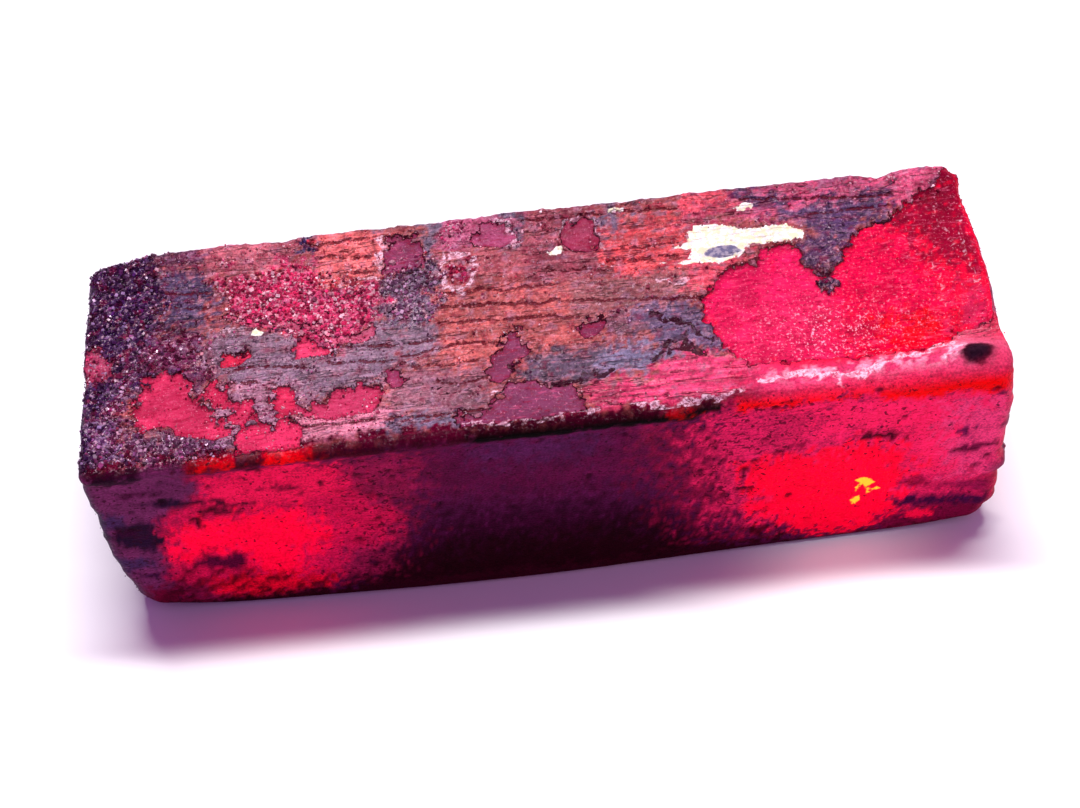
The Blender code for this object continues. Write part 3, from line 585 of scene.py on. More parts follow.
def lay_marks(s):
    """Distances from windows, plates, cracks and the like, and how sugary and specked the skin is."""
    x, y, z, mid_u, mid_v, fine_u, fine_v = s.x, s.y, s.z, s.mid_u, s.mid_v, s.fine_u, s.fine_v
    off_top = OFF_SIDE * (1.0 - ease(0.15, 0.4, s.top))
    ragged = 0.3 + 0.7 * ease(9.5, 7.0, x)
    bare = distance_to_any([outline for _, outline in WINDOWS], s.edge_x, s.edge_y)
    bare = bare - 0.1 + ragged * (0.3 * mid_v + 0.12 * fine_v) + off_top
    bare = np.maximum(bare, 0.55 - np.hypot(s.edge_x - 16.4, 1.2 * (s.edge_y + 0.1)))
    s.bare_back = distance_to_any(BACK_WINDOWS, s.tint_x + 0.9 * s.wide_u,
                                  z + 0.9 * s.wide_v + 0.5 * mid_v) + 0.5 * mid_u
    s.bare = np.minimum(bare, s.bare_back + OFF_SIDE * (1.0 - s.back))
    s.plate = distance_to_any([outline for _, outline in PLATES], s.edge_x, s.edge_y)
    s.plate = s.plate + 0.18 * mid_v + 0.14 * fine_v + off_top
    s.deposit = distance_to_any(DEPOSITS, x + 0.2 * mid_u + 0.1 * fine_u,
                                y + 0.16 * mid_v + 0.1 * fine_v) + off_top
    s.rim = distance_to_lines(RIMS_AND_HIGHLIGHTS, s.edge_x, s.edge_y) + off_top
    s.crack = distance_to_lines(CRACKS, s.edge_x, s.edge_y) + off_top
    s.groove = distance_to_lines(GROOVES, x, y + 0.14 * s.wide_v + 0.05 * fine_v) + off_top
    s.inclusion = distance_to_any(INCLUSIONS, x + 0.05 * fine_u, z + 0.05 * fine_v)
    s.inclusion = s.inclusion + OFF_SIDE * (1.0 - s.front)
    # Where shadow is painted grey in a dent in the white deposit.
    s.dent = np.hypot((x - 10.9 + 0.1 * mid_u) / 0.95, (y - 2.85 + 0.05 * mid_v) / 0.36) - 1.0

    s.pit = np.min([np.hypot((x - px) * 0.8, z - pz) / radius for px, pz, radius in PITS], axis=0)
    s.pit += 4.0 * (1.0 - ease(0.3, 0.7, s.front))
    s.smear = np.zeros(len(x))
    for px, pz, half, wide in SMEARS:
        along = (x - px) * SLANT_X + (z - pz) * SLANT_Z + 0.5 * mid_v
        across = (x - px) * SLANT_Z - (z - pz) * SLANT_X + 0.45 * mid_u
        s.smear = np.maximum(s.smear, hump(along, 0, half) * hump(across, 0, wide))
    s.smear *= s.front
    s.specky = 0.22 + 0.35 * ease(-21.0, -23.5, x) + 0.3 * hump(x, 15.0, 6.0) * ease(9.0, 11.5, z)
    for middle, half, more in ((10.4, 3.0, 0.34), (-10.0, 2.4, 0.45), (-16.5, 5.0, 0.08)):
        s.specky += more * hump(x, middle, half)
    s.specky *= s.front

    # The clear strip along the worn front edge carries no crust.
    s.glassy = ease(9.5, 12.5, x) * ease(-4.4, -5.0, y + 0.3 * mid_u) * s.top
    sugar = np.max([amount * (1.0 - ease(-0.3, 0.3, distance_to(outline, s.tint_x, s.tint_y)))
                    for amount, outline in SUGARY], axis=0)
    sugar *= ease(0.1, 0.5, s.top)
    sugar = np.maximum(sugar, 0.55 * s.end * ease(0.0, -4.0, x))
    sugar = np.maximum(sugar, (0.36 + 0.45 * mid_u) * (s.top + s.back + s.end))
    sugar *= (1.0 - 0.9 * s.glassy) * (1.0 - 0.8 * ease(1.8, 3.2, x) * ease(-4.0, -4.8, y) * s.top)
    s.sugar = sugar
    s.in_window, s.in_plate = 1.0 - ease(*BROKEN_EDGE, s.bare), 1.0 - ease(*BROKEN_EDGE, s.plate)
    s.whole = (1.0 - 0.92 * s.in_window) * (1.0 - 0.8 * s.in_plate) * (1.0 - 0.6 * sugar)


def shaped(s):
    """The points of the skin with its relief, in millimetres."""
    x, y, z, top, front, back, end = s.x, s.y, s.z, s.top, s.front, s.back, s.end
    height = cloud(s.place, 0.32, 5, 3) * (0.06 + 0.16 * end * (0.5 + 0.5 * ease(4.0, -4.0, x)))
    height += 0.14 * striae(y, x, 6) * top * s.whole
    height += 0.16 * striae(z, x, 7) * back * (1.0 - 0.9 * s.in_window)
    height += 0.02 * cloud(s.place, 1.4, 8, 3) * front
    height += (0.07 * s.sugar + 0.025 * s.whole * top) * cloud(s.place, 2.4, 9, 2)
    # windows and plates are sunk, grooves and cracks cut in, deposits stand out
    height -= 0.24 * s.in_window * np.maximum(top, back) + 0.13 * s.in_plate * top
    cut = (1.0 - ease(-0.02, 0.12, s.groove)) * s.whole
    height -= 0.1 * cut + 0.1 * (1.0 - ease(0.0, 0.12, s.crack))
    height += 0.05 * (1.0 - ease(-0.05, 0.1, s.deposit))
    height -= 0.12 * (1.0 - ease(0.2, 1.1, s.pit)) + 0.06 * s.smear
    height += 0.12 * s.mid_u * ease(5.6, 7.0, y) * top
    # the hollow behind the worn front edge on the right, and the crest before it
    worn = ease(12.0, 18.0, x)
    height -= 0.45 * worn * hump(y, -3.9, 1.6) * top
    height += worn * (0.2 + 0.25 * ease(19.0, 23.5, x)) * hump(y, -6.0, 0.8) * top
    # the raised back edge, its broken left end and its nick
    height += 0.4 * ease(4.6, 6.6, y) * top * (1.0 - 0.5 * hump(x, -14.0, 1.5))
    height -= 0.7 * hump(x, -25.4, 2.6) * hump(y, 7.4, 3.0) * top
    height -= 0.32 * hump(x, 20.3, 0.8) * (ease(5.6, 7.2, y) * top + ease(12.5, 15.0, z) * back)
    # the lip of the front face, and the swollen ends
    height += 0.3 * ease(14.1, 15.1, z) * (1.0 - ease(7.0, 9.0, x)) * front
    height += 0.25 * end * np.sin(np.pi * np.clip(z / HEIGHT, 0.0, 1.0))
    height -= 0.4 * end * ease(0.0, 6.5, y) * ease(0.0, 10.0, x) * ease(6.0, 14.0, z)
    for middle, half, rise in LUMPS:
        height += rise * knoll(s.place, middle, half) * (1.0 + 0.5 * s.wide_u)
    height *= ease(0.0, 1.2, z)
    points = s.place + s.out * height[:, None]
    # the front face swells outwards at its foot
    points[:, 1] -= 0.56 * hump(x, -3.0, 15.0) * (1.0 - ease(1.0, 6.0, z)) * ease(-3.0, -6.5, y)
    points[:, 2] = np.maximum(points[:, 2], 0.0)
    return points


# ---- painting
def blend(a, b, amount):
    return a + (b - a) * amount[:, None]


def coat(tint, *layers):
    """Lays display colours over a tint, each as thick as its amount says."""
    for rgb, amount in layers:
        tint = blend(tint, linear(rgb), amount)
    return tint


def paint(tint, layers, u, v, grit):
    """Broad tints, one over the other, that break up into each other at their borders."""
    for rgb, soft, outline in layers:
        away = distance_to(outline, u, v) + 1.8 * soft * grit
        tint = coat(tint, (rgb, 1.0 - ease(-0.7 * soft, 0.7 * soft, away)))
    return tint


def crust_tint(s):
    """The tint of the crust on every side. The front's own tint is kept for its glow."""
    x, y, z, top, back, end = s.x, s.y, s.z, s.top, s.back, s.end
    mid_u, mid_v, glassy = s.mid_u, s.mid_v, s.glassy
    s.blob = np.exp(-(((x - 23.4) / 0.95) ** 2 + ((y + 6.0 + 0.25 * mid_u) / 0.6) ** 2) ** 3)
    nub = np.exp(-(((x - 25.2) / 0.9) ** 2 + ((y + 6.4) / 0.9) ** 2 + ((z - 6.3) / 0.7) ** 2) ** 2)
    black = np.zeros((len(x), 3))
    on_top = paint(black, TOP_TINTS, s.tint_x, s.tint_y, s.grit)
    on_top = coat(on_top, ((40, 12, 40), np.clip(1.6 * s.blob, 0.0, 0.95)))
    on_front = paint(black, FRONT_TINTS, x + 0.7 * s.wide_u + 0.4 * mid_u,
                     z + 0.4 * s.wide_v + 0.2 * mid_v, (0.45 + 0.3 * ease(4.0, 9.0, x)) * s.grit)
    s.on_front = coat(on_front, ((58, 4, 26), 0.85 * s.smear),
                      ((44, 4, 28), 0.8 * (1.0 - ease(0.4, 1.2, s.pit))), (NUB_VIOLET, 0.9 * nub))
    patches = cloud(s.place, (0.1, 0.3, 0.3), 11, 3) + 0.4 * cloud(s.place, (0.5, 1.6, 1.6), 12, 2)
    elsewhere = coat(np.tile(linear(MAROON), (len(x), 1)),
                     (BRICK, ease(0.1, 0.5, patches)), (SLATE, ease(-0.1, -0.45, patches)),
                     (INDIGO, ease(-8.0, -22.0, x + 6.0 * patches)),
                     (CRIMSON, 0.9 * ease(19.0, 24.5, x + (3.0 + 6.0 * end) * patches)),
                     (NUB_VIOLET, 0.9 * nub))
    crust = on_top * top[:, None] + s.on_front * s.front[:, None]
    crust += elsewhere * (back + s.foot + end)[:, None]

    mottle = cloud(s.place, (0.45, 0.7, 0.7), 15, 4)
    crust *= np.exp2(0.55 * mottle * (1.0 - 0.4 * s.front) - 0.12 * top)[:, None]
    redness = np.clip(2.2 * (crust[:, 0] - crust[:, 1:].mean(axis=1)), 0.0, 1.0)
    crust *= (1.0 - (0.12 - 0.26 * redness) * (1.0 - s.front))[:, None]
    s.inland = ease(-7.0, -6.6, y)
    broad = top * s.inland * (1.0 - glassy) * ease(12.0, 8.0, x - 20.0 * ease(2.0, 4.0, y)) + 0.6 * back
    paler = np.outer(broad, (0.22, 0.52, 0.44))
    crust *= 1.0 + paler * (1.0 + 0.5 * hump(x, -7.5, 4.5))[:, None]

    # The worn front edge on the right: pink glass, a pale crest of painted highlight, a red hollow, a dark
    # chip in a pale halo of painted highlight. Further left, a dark painted shadow along the front lip.
    off_blob = 1.0 - np.clip(1.5 * s.blob, 0.0, 1.0)
    s.crest = hump(y, -5.7, 0.6) * ease(11.0, 13.5, x) * top * off_blob
    lip_shadow = ease(-6.92, -7.08, y + 0.05 * s.fine_v) * ease(-13.5, -11.5, x) * ease(9.9, 8.8, x)
    pale_halo_highlight = np.exp(-(((x - 23.8) / 1.5) ** 2 + ((y + 5.3) / 1.1) ** 2)) * top
    return coat(
        crust,
        ((140, 106, 136), 0.4 * ease(0.12, 0.5, mid_v) * (top * s.inland + back)),
        ((110, 12, 48), 0.6 * ease(-0.1, -0.45, mid_v) * (top + back)),
        ((206, 54, 98), 0.9 * glassy * off_blob),
        ((246, 156, 184), 0.75 * s.crest * ease(0.0, 0.3, s.fine_u + mid_u) * ease(24.0, 22.6, x)),
        ((236, 8, 48), 0.9 * hump(y, -4.8, 0.6) * ease(11.0, 14.0, x) * top),
        ((38, 4, 24), lip_shadow * top * (0.7 + 0.22 * ease(-6.5, -4.5, x))),
        ((250, 150, 184), 0.85 * pale_halo_highlight),
        ((22, 4, 24), np.clip(1.3 * s.blob, 0.0, 0.97)),
        ((196, 34, 74), 0.7 * ease(22.0, 24.0, x) * ease(5.6, 4.0, y) * top * (1.0 - s.blob)))


def clear_tint(s):
    """The tint of what is bare of crust: that of the nearest window or plate."""
    clear = np.tile(linear((214, 16, 56)), (len(s.x), 1))
    nearest = np.full(len(s.x), FAR)
    for rgb, outline in WINDOWS + PLATES:
        away = distance_to(outline, s.edge_x, s.edge_y)
        clear[away < nearest] = linear(rgb)
        nearest = np.minimum(nearest, away)
    clear += np.outer(1.0 - ease(8.0, 9.0, s.x), (0.0, 0.018, 0.034))
    inside_right = paint(clear, CLEAR_TINTS, s.tint_x, s.tint_y, 0.7 * s.grit)
    clear = blend(clear, inside_right, ease(9.0, 9.4, s.x) * s.top)
    clear = coat(clear, ((214, 24, 66), s.back))
    return clear * np.exp2(0.6 * cloud(s.place, (0.5, 0.8, 0.8), 16, 4))[:, None]


def glow_tint(s):
    """Light from inside: what is bright red on the front, the right end and the back's windows."""
    glow = s.on_front * (ease(0.25, 0.85, s.on_front[:, 0]) * s.front)[:, None]
    glow += np.outer(0.3 * s.end * ease(15.0, 24.0, s.x), linear(CRIMSON))
    return glow + np.outer(0.3 * (1.0 - ease(-0.6, 0.1, s.bare_back)) * s.back, linear(SCARLET))


def lay_gloss(s):
    """Where the surface glitters, is wet, and is streaky."""
    x, y, top = s.x, s.y, s.top
    s.glitter = hump(x, 15.8, 3.6) * hump(y, -3.2, 1.9) * top + 0.06 * ease(9.0, 11.0, x) * top
    wet = (0.3 * s.sugar + 0.12 * top + 0.2 * s.back) * (1.0 - 0.85 * s.in_window)
    wet *= 1.0 - 0.5 * s.in_plate
    wet *= (1.0 - 0.9 * s.glassy) * (1.0 - ease(-6.4, -6.9, y) * top * ease(10.0, 8.0, x))
    wet += 0.8 * s.crest * ease(0.0, 0.35, s.mid_u) * ease(24.0, 22.6, x)
    s.wet = np.clip(wet * (1.0 - 1.4 * s.blob), 0.0, 1.0)
    s.streaky = np.maximum(top * s.inland, s.back) * (1.0 - 0.8 * s.sugar) * (1.0 - s.glassy)


def store_colours(mesh, name, colours):
    layer = mesh.attributes.new(name, "FLOAT_COLOR", "POINT")
    rgba = np.ones((len(colours), 4), np.float32)
    rgba[:, :3] = np.clip(colours, 0.0, 1.0)
    layer.data.foreach_set("color", rgba.ravel())


def read_points(items, key, width, kind=np.float32):
    """One number a point, or a row of width numbers."""
    values = np.empty(len(items) * width, kind)
    items.foreach_get(key, values)
    return values.reshape(-1, width) if width > 1 else values


def crystal_surface(block):
    """Shapes the block, and leaves on it the tints and distances that its finish is made from."""
    mesh = block.data
    sharp = read_points(mesh.vertices, "co", 3, float) / MM
    sharp[:, 1] = crowd_to_edges(sharp[:, 1] - LOW[1], WIDTH, EDGE_CROWDING_Y) + LOW[1]
    sharp[:, 2] = crowd_to_edges(sharp[:, 2], HEIGHT, EDGE_CROWDING_Z)
    s = skin_of(sharp)
    lay_marks(s)
    mesh.vertices.foreach_set("co", (shaped(s) * MM).ravel())
    store_colours(mesh, "crust", crust_tint(s))
    store_colours(mesh, "clear", clear_tint(s))
    store_colours(mesh, "glow", glow_tint(s))
    lay_gloss(s)
    for name in ("bare", "plate", "deposit", "rim", "crack", "groove", "sugar", "inclusion", "dent",
                 "specky", "wet", "glitter", "streaky"):
        layer = mesh.attributes.new(name, "FLOAT", "POINT")
        layer.data.foreach_set("value", np.clip(getattr(s, name), -2.0, 2.0).astype(np.float32))


# ---- the grains
def grain_shape():
    """The corners and faces of one blocky grain, about 1 across."""
    bpy.ops.object.select_all(action="DESELECT")
    bpy.ops.mesh.primitive_cube_add(size=1.0)
    cube = bpy.context.object
    corners = np.array([v.co[:] for v in cube.data.vertices])
    faces = np.array([f.vertices[:] for f in cube.data.polygons])
    bpy.data.objects.remove(cube)
    return corners, faces


def turned_any_way(rng, count):
    """Random turns, as a matrix each."""
    turn = rng.standard_normal((count, 4))
    turn /= np.linalg.norm(turn, axis=1)[:, None]
    w, a, b, c = turn.T
    rows = (1 - 2 * (b * b + c * c), 2 * (a * b - c * w), 2 * (a * c + b * w),
            2 * (a * b + c * w), 1 - 2 * (a * a + c * c), 2 * (b * c - a * w),
            2 * (a * c - b * w), 2 * (b * c + a * w), 1 - 2 * (a * a + b * b))
    return np.stack(rows, 1).reshape(-1, 3, 3)


def add_grains(name, block):
    """Small crystals sown over the crust, thickest where it is sugary and along broken edges."""
    count, mesh = GRAIN_COUNT, block.data
    sugar, bare, plate, deposit = (read_points(mesh.attributes[key].data, "value", 1)
                                   for key in ("sugar", "bare", "plate", "deposit"))
    crust, clear = (read_points(mesh.attributes[key].data, "color", 4)[:, :3]
                    for key in ("crust", "clear"))
    places = read_points(mesh.vertices, "co", 3, float) / MM
    ways = read_points(mesh.vertices, "normal", 3, float)
    x, y, z = places.T

    # How likely a grain is at each point. The front, the foot and the clear strip have none.
    inside = 1.0 - ease(-0.05, 0.05, np.minimum(bare, plate))
    broken = np.exp(-(np.minimum(np.abs(bare), np.abs(plate)) / 0.22) ** 2)
    thick = ease(0.55, 0.9, sugar)
    chance = 0.012 + 0.9 * thick + 0.08 * broken + 0.3 * broken * ease(-8.0, -10.0, x)
    chance *= 1.0 - 0.95 * inside * (1.0 - 0.6 * broken)
    chance *= 1.0 - 0.8 * ease(-8.5, -7.5, x) * ease(0.5, 0.9, ways[:, 2])
    chance *= 1.0 - ease(6.7, 7.0, y) * ease(-22.5, -20.0, x)
    chance *= (1.0 - ease(10.5, 12.0, x) * ease(-4.2, -4.9, y)) * (1.0 - ease(-0.5, -0.8, ways[:, 1]))
    chance *= ease(-7.1, -6.7, y) * ease(0.4, 1.2, z) * (1.0 - ease(0.1, -0.1, deposit))
    chance *= np.where(ways[:, 2] > 0.5, 1.0, 0.5)

    rng = np.random.default_rng(GRAIN_SEED)
    picked = rng.choice(len(chance), count, replace=False, p=chance / chance.sum())
    size = GRAIN_SIZE * np.exp2(0.45 * rng.standard_normal(count)) * (0.45 + 0.55 * thick[picked])
    on_an_end = np.abs(ways[picked][:, 0]) > 0.6
    size = np.clip(size, SMALLEST_GRAIN, LARGEST_GRAIN) * (1.0 - 0.3 * on_an_end)
    spin = turned_any_way(rng, count)
    corners, faces = grain_shape()
    stretched = corners[None] * (size[:, None] * rng.uniform(0.6, 1.1, (count, 3)))[:, None, :]
    middles = places[picked] + 0.06 * rng.standard_normal((count, 3))
    middles = middles - ways[picked] * (0.3 * size)[:, None]
    points = np.einsum("nij,nkj->nki", spin, stretched) + middles[:, None, :]
    points[:, :, 2] = np.maximum(points[:, :, 2], LOWEST_GRAIN)
    rows = (faces[None] + GRAIN_CORNERS * np.arange(count)[:, None, None]).reshape(-1, 4)
    made = bpy.data.meshes.new(name)
    made.from_pydata((points.reshape(-1, 3) * MM).tolist(), [], rows.tolist())

    # A grain takes the tint of what it lies on, lighter or darker. A few are painted pale, as painted
    # highlights.
    own = np.where(inside[picked][:, None] > 0.5, clear[picked], crust[picked])
    own = own * np.exp2(0.8 * rng.standard_normal(count) - 0.7)[:, None]
    warm = np.clip(crust[picked][:, 0] / 0.35, 0.1, 1.0)[:, None]
    cold_shift, warm_shift = np.array((0.95, 0.65, 0.9)), np.array((1.1, 0.5, 0.75))
    own = own * (cold_shift + (warm_shift - cold_shift) * warm)
    lit = rng.uniform(size=count) < 0.07 + 0.2 * warm[:, 0]
    lit = lit[:, None] * rng.uniform(0.3, 1.0, (count, 1))
    cold_light, warm_light = linear((142, 116, 172)), linear((246, 190, 202))
    own = own + (cold_light + (warm_light - cold_light) * warm - own) * lit
    store_colours(made, "crust", np.repeat(own, GRAIN_CORNERS, axis=0))
    grains = bpy.data.objects.new(name, made)
    bpy.context.scene.collection.objects.link(grains)
    return grains


# ---- finishes
class Tree:
    """Adds nodes to a material's or a group's tree, and links them."""

    def __init__(self, tree):
        self.tree = tree
        tree.nodes.clear()

    def add(self, kind, inputs=None, **settings):
        made = self.tree.nodes.new(kind)
        for key, value in settings.items():
            setattr(made, key, value)
        for key, value in (inputs or {}).items():
            self.feed(value, made.inputs[key])
        return made

    def feed(self, value, socket):
        if isinstance(value, bpy.types.NodeSocket):
            self.tree.links.new(value, socket)
        else:
            socket.default_value = value

    def amount(self, name):
        return self.add("ShaderNodeAttribute", attribute_name=name).outputs["Fac"]

    def tint(self, name):
        return self.add("ShaderNodeAttribute", attribute_name=name).outputs["Color"]

    def math(self, operation, a, b=0.0, clamp=False):
        return self.add("ShaderNodeMath", {0: a, 1: b}, operation=operation, use_clamp=clamp).outputs[0]

    def plus(self, a, b):
        return self.math("ADD", a, b)

    def minus(self, a, b):
        return self.math("SUBTRACT", a, b)

    def times(self, a, b):
        return self.math("MULTIPLY", a, b)

    def ramp(self, value, low, high, out_low=0.0, out_high=1.0):
        """A smooth step from out_low to out_high as value goes from low to high."""
        step = self.add("ShaderNodeMapRange", {0: value, 1: low, 2: high, 3: out_low, 4: out_high},
                        interpolation_type="SMOOTHSTEP")
        return step.outputs[0]

    def mix(self, factor, a, b, kind="MIX"):
        """Colour b over colour a. A colour is a socket, three display values or four linear ones."""
        made = self.add("ShaderNodeMix", data_type="RGBA", blend_type=kind)
        for value, index in ((factor, 0), (a, 6), (b, 7)):
            if isinstance(value, tuple) and len(value) == 3:
                value = (*linear(value), 1.0)
            self.feed(value, made.inputs[index])
        return made.outputs[2]

    def mapped(self, vector, scale, turn=(0.0, 0.0, 0.0)):
        inputs = {"Vector": vector, "Rotation": turn, "Scale": scale}
        return self.add("ShaderNodeMapping", inputs).outputs[0]

    def object_place(self):
        return self.add("ShaderNodeTexCoord").outputs["Object"]

    def noise(self, vector, scale, detail=2.0, roughness=0.55):
        made = self.add("ShaderNodeTexNoise", {"Vector": vector, "Scale": scale, "Detail": detail,
                                               "Roughness": roughness})
        return made.outputs[0]

    def finish(self, inputs):
        """A Principled shader with these inputs, as the surface."""
        shader = self.add("ShaderNodeBsdfPrincipled", inputs)
        self.add("ShaderNodeOutputMaterial", {"Surface": shader.outputs[0]})


def new_material(name):
    material = bpy.data.materials.new(name)
    material.use_nodes = True
    return material, Tree(material.node_tree)


class Effect(Tree):
    """A node group that takes a place and an amount, and gives the numbers that results names."""

    def __init__(self, name, *results):
        self.group = bpy.data.node_groups.new(name, "ShaderNodeTree")
        sockets = [("Place", "INPUT", "Vector"), ("Amount", "INPUT", "Float")]
        for label, direction, kind in sockets + [(result, "OUTPUT", "Float") for result in results]:
            self.group.interface.new_socket(label, in_out=direction, socket_type="NodeSocket" + kind)
        super().__init__(self.group)
        given = self.add("NodeGroupInput").outputs
        self.place, self.strength = given["Place"], given["Amount"]

    def give(self, results):
        self.add("NodeGroupOutput", results)

    def use(self, t, place, amount):
        """This group in another tree, at a place and with an amount."""
        inputs = {"Place": place, "Amount": amount}
        return t.add("ShaderNodeGroup", inputs, node_tree=self.group).outputs


def streaks_effect():
    """Fine ridges along X: a shade of about 1 that darkens the lines between them as painted shade, pale
    crests as painted highlights, and a height.
    """
    t = Effect("lengthwise streaks", "Shade", "Ridge highlights", "Height")
    long, short = t.mapped(t.place, (0.11, 0.8, 0.8)), t.mapped(t.place, (0.4, 4.6, 4.6))
    broad = t.plus(t.times(t.noise(long, 1.0, 4.0), 7.0), t.times(t.noise(t.place, 2.6, 2.0), 0.22))
    wave = t.math("PINGPONG", broad, 0.5)
    line = t.ramp(wave, 0.0, 0.09)
    crest = t.times(t.ramp(wave, 0.05, 0.09), t.ramp(wave, 0.2, 0.12))
    narrow = t.noise(short, 1.0, 3.0, 0.7)
    shade = t.times(t.ramp(narrow, 0.36, 0.64, 0.68, 1.2), t.plus(0.26, t.times(line, 0.74)))
    pale = t.math("MAXIMUM", t.ramp(narrow, 0.56, 0.67), t.times(crest, 0.7))
    rise = t.plus(t.times(line, 0.5), t.times(narrow, 0.7))
    t.give({"Shade": t.plus(t.times(t.minus(shade, 1.0), t.strength), 1.0),
            "Ridge highlights": t.times(pale, t.strength), "Height": t.times(rise, t.strength)})
    return t


def sugar_effect():
    """Packed grains: pale facets as painted highlights, dark gaps as painted shade, and a height."""
    t = Effect("sugary grains", "Lit facets", "Shaded gaps", "Height")
    small, large = t.noise(t.place, 5.2, 3.0, 0.6), t.noise(t.place, 2.4, 3.0, 0.65)
    lit = t.times(t.ramp(small, 0.55, 0.66), t.ramp(large, 0.36, 0.56, 0.3, 1.0))
    hollow = t.math("MAXIMUM", t.ramp(small, 0.46, 0.36), t.ramp(large, 0.44, 0.34))
    t.give({"Lit facets": t.times(lit, t.strength), "Shaded gaps": t.times(hollow, t.strength),
            "Height": t.times(t.plus(small, large), t.strength)})
    return t


def beryl_finish():
    """Streaky and granular crust, clear red where it is bare, and a glow from inside."""
    material, t = new_material("red_beryl")
    place = t.mapped(t.object_place(), PER_METRE)
    streaks = streaks_effect().use(t, place, t.amount("streaky"))
    grains = sugar_effect().use(t, place, t.amount("sugar"))
    fine, medium = t.noise(place, 7.0, 3.0, 0.65), t.noise(place, 1.7, 4.0, 0.6)
    coarse = t.noise(place, 3.1, 3.0, 0.6)
    wander = t.plus(t.times(t.minus(fine, 0.5), 0.16), t.times(t.minus(coarse, 0.5), 0.4))

    def near(name):
        """The distance from a mark, which wanders a little."""
        return t.plus(t.amount(name), wander)

    # The crust, streaky or granular, with painted shade in the grooves and gaps and painted highlights on
    # the crests and facets.
    shade = t.times(streaks["Shade"], t.ramp(fine, 0.3, 0.7, 0.72, 1.28))
    shade = t.times(shade, t.ramp(medium, 0.3, 0.7, 0.85, 1.15))
    shades = t.add("ShaderNodeCombineColor", {0: shade, 1: shade, 2: shade}).outputs[0]
    tint = t.mix(1.0, t.tint("crust"), shades, "MULTIPLY")
    crests = t.times(streaks["Ridge highlights"], t.ramp(fine, 0.42, 0.58, 0.05, 0.5))
    tint = t.mix(crests, tint, t.mix(0.35, (232, 164, 170), tint))
    tint = t.mix(grains["Shaded gaps"], tint, t.mix(1.0, tint, (0.22, 0.1, 0.14, 1.0), "MULTIPLY"))
    tint = t.mix(t.times(grains["Lit facets"], 0.75), tint, t.mix(0.3, (236, 190, 202), tint))

    # Dark specks and slanting veins inside the front face.
    specky = t.amount("specky")
    dots = t.plus(t.times(t.noise(place, 3.4, 1.0), 0.7), t.times(fine, 0.3))
    reach = t.plus(0.3, t.times(specky, 0.16))
    dot = t.times(t.ramp(t.minus(dots, reach), 0.03, -0.02, 0.0, 0.75), t.ramp(specky, 0.0, 0.2))
    scratch = t.noise(t.mapped(place, (1.3, 5.5, 5.5), (0.0, 0.0, 0.6)), 1.0, 3.0, 0.65)
    vein = t.math("MULTIPLY", t.ramp(scratch, 0.46, 0.35), t.times(specky, 0.75), True)
    dot = t.math("MAXIMUM", dot, vein)
    tint = t.mix(dot, tint, (56, 4, 34))
    # The striation grooves darkened: painted shade.
    groove = t.ramp(near("groove"), -0.03, 0.05, 0.85, 0.0)
    tint = t.mix(groove, tint, (88, 14, 30))

    # Bare windows and plates: scratches, pale and dark grains, a darker border of painted shade under the
    # crust's edge, and sparks of painted glints. The pale scratches and pale grains are painted highlights.
    bare, plate = near("bare"), near("plate")
    either = t.math("MINIMUM", bare, plate)
    clear = t.tint("clear")
    for source, low, high, most, rgb in (
        (scratch, 0.56, 0.66, 0.28, (238, 96, 136)),
        (scratch, 0.46, 0.34, 0.6, (140, 8, 44)),
        (coarse, 0.44, 0.34, 0.4, (120, 6, 42)),
        (fine, 0.62, 0.68, 0.45, (244, 150, 180)),
        (fine, 0.4, 0.33, 0.65, (96, 2, 34)),
        (either, -0.32, 0.02, 0.5, (112, 4, 40)),
    ):
        clear = t.mix(t.ramp(source, low, high, 0.0, most), clear, rgb)
    spark = t.times(t.ramp(t.plus(fine, t.times(coarse, 0.5)), 0.83, 0.9), t.amount("glitter"))
    clear = t.mix(t.times(spark, 0.75), clear, (250, 176, 200))
    smooth = t.ramp(either, 0.02, -0.03)
    tint = t.mix(smooth, tint, clear)

    # A dark line round each, painted shadow of the crust's broken edge, and along the cracks.
    round_plate = t.math("ABSOLUTE", t.minus(plate, 0.03))
    round_bare = t.plus(t.math("ABSOLUTE", t.minus(bare, 0.05)), 0.02)
    ledge_shadow_and_crack = t.math("MINIMUM", t.math("MINIMUM", round_plate, round_bare), near("crack"))
    line = t.times(t.ramp(ledge_shadow_and_crack, 0.075, 0.03), t.ramp(medium, 0.36, 0.5, 0.4, 0.95))
    tint = t.mix(line, tint, (52, 8, 28))

    # Pale rims and painted highlights, white deposit with a grey painted shadow in a dent, and yellow
    # inclusions.
    flecks = t.times(t.ramp(fine, 0.38, 0.54, 0.1, 0.95), t.ramp(coarse, 0.4, 0.52, 0.35, 1.0))
    tint = t.mix(t.times(t.ramp(near("rim"), 0.07, -0.03), flecks), tint, (240, 196, 214))
    chalk = t.mix(t.ramp(medium, 0.42, 0.62), (250, 246, 240), (228, 216, 212))
    chalk = t.mix(t.ramp(coarse, 0.44, 0.56, 0.0, 0.85), chalk, (226, 220, 176))
    chalk = t.mix(t.ramp(fine, 0.38, 0.31, 0.0, 0.7), chalk, (150, 120, 130))
    shadow_grey = t.mix(t.ramp(coarse, 0.45, 0.6), (92, 88, 122), (150, 140, 160))
    chalk = t.mix(t.ramp(near("dent"), 0.12, -0.08, 0.0, 0.95), chalk, shadow_grey)
    white = t.ramp(near("deposit"), 0.03, -0.03)
    tint = t.mix(white, tint, chalk)
    yellow = t.ramp(near("inclusion"), 0.06, -0.06)
    tint = t.mix(yellow, tint, (255, 214, 60))

    glow = t.mix(1.0, t.tint("glow"), t.mix(t.ramp(fine, 0.34, 0.62), (200, 150, 160), WHITE), "MULTIPLY")
    glow = t.mix(dot, glow, (20, 0, 8))
    glow = t.mix(yellow, glow, (255, 190, 40))

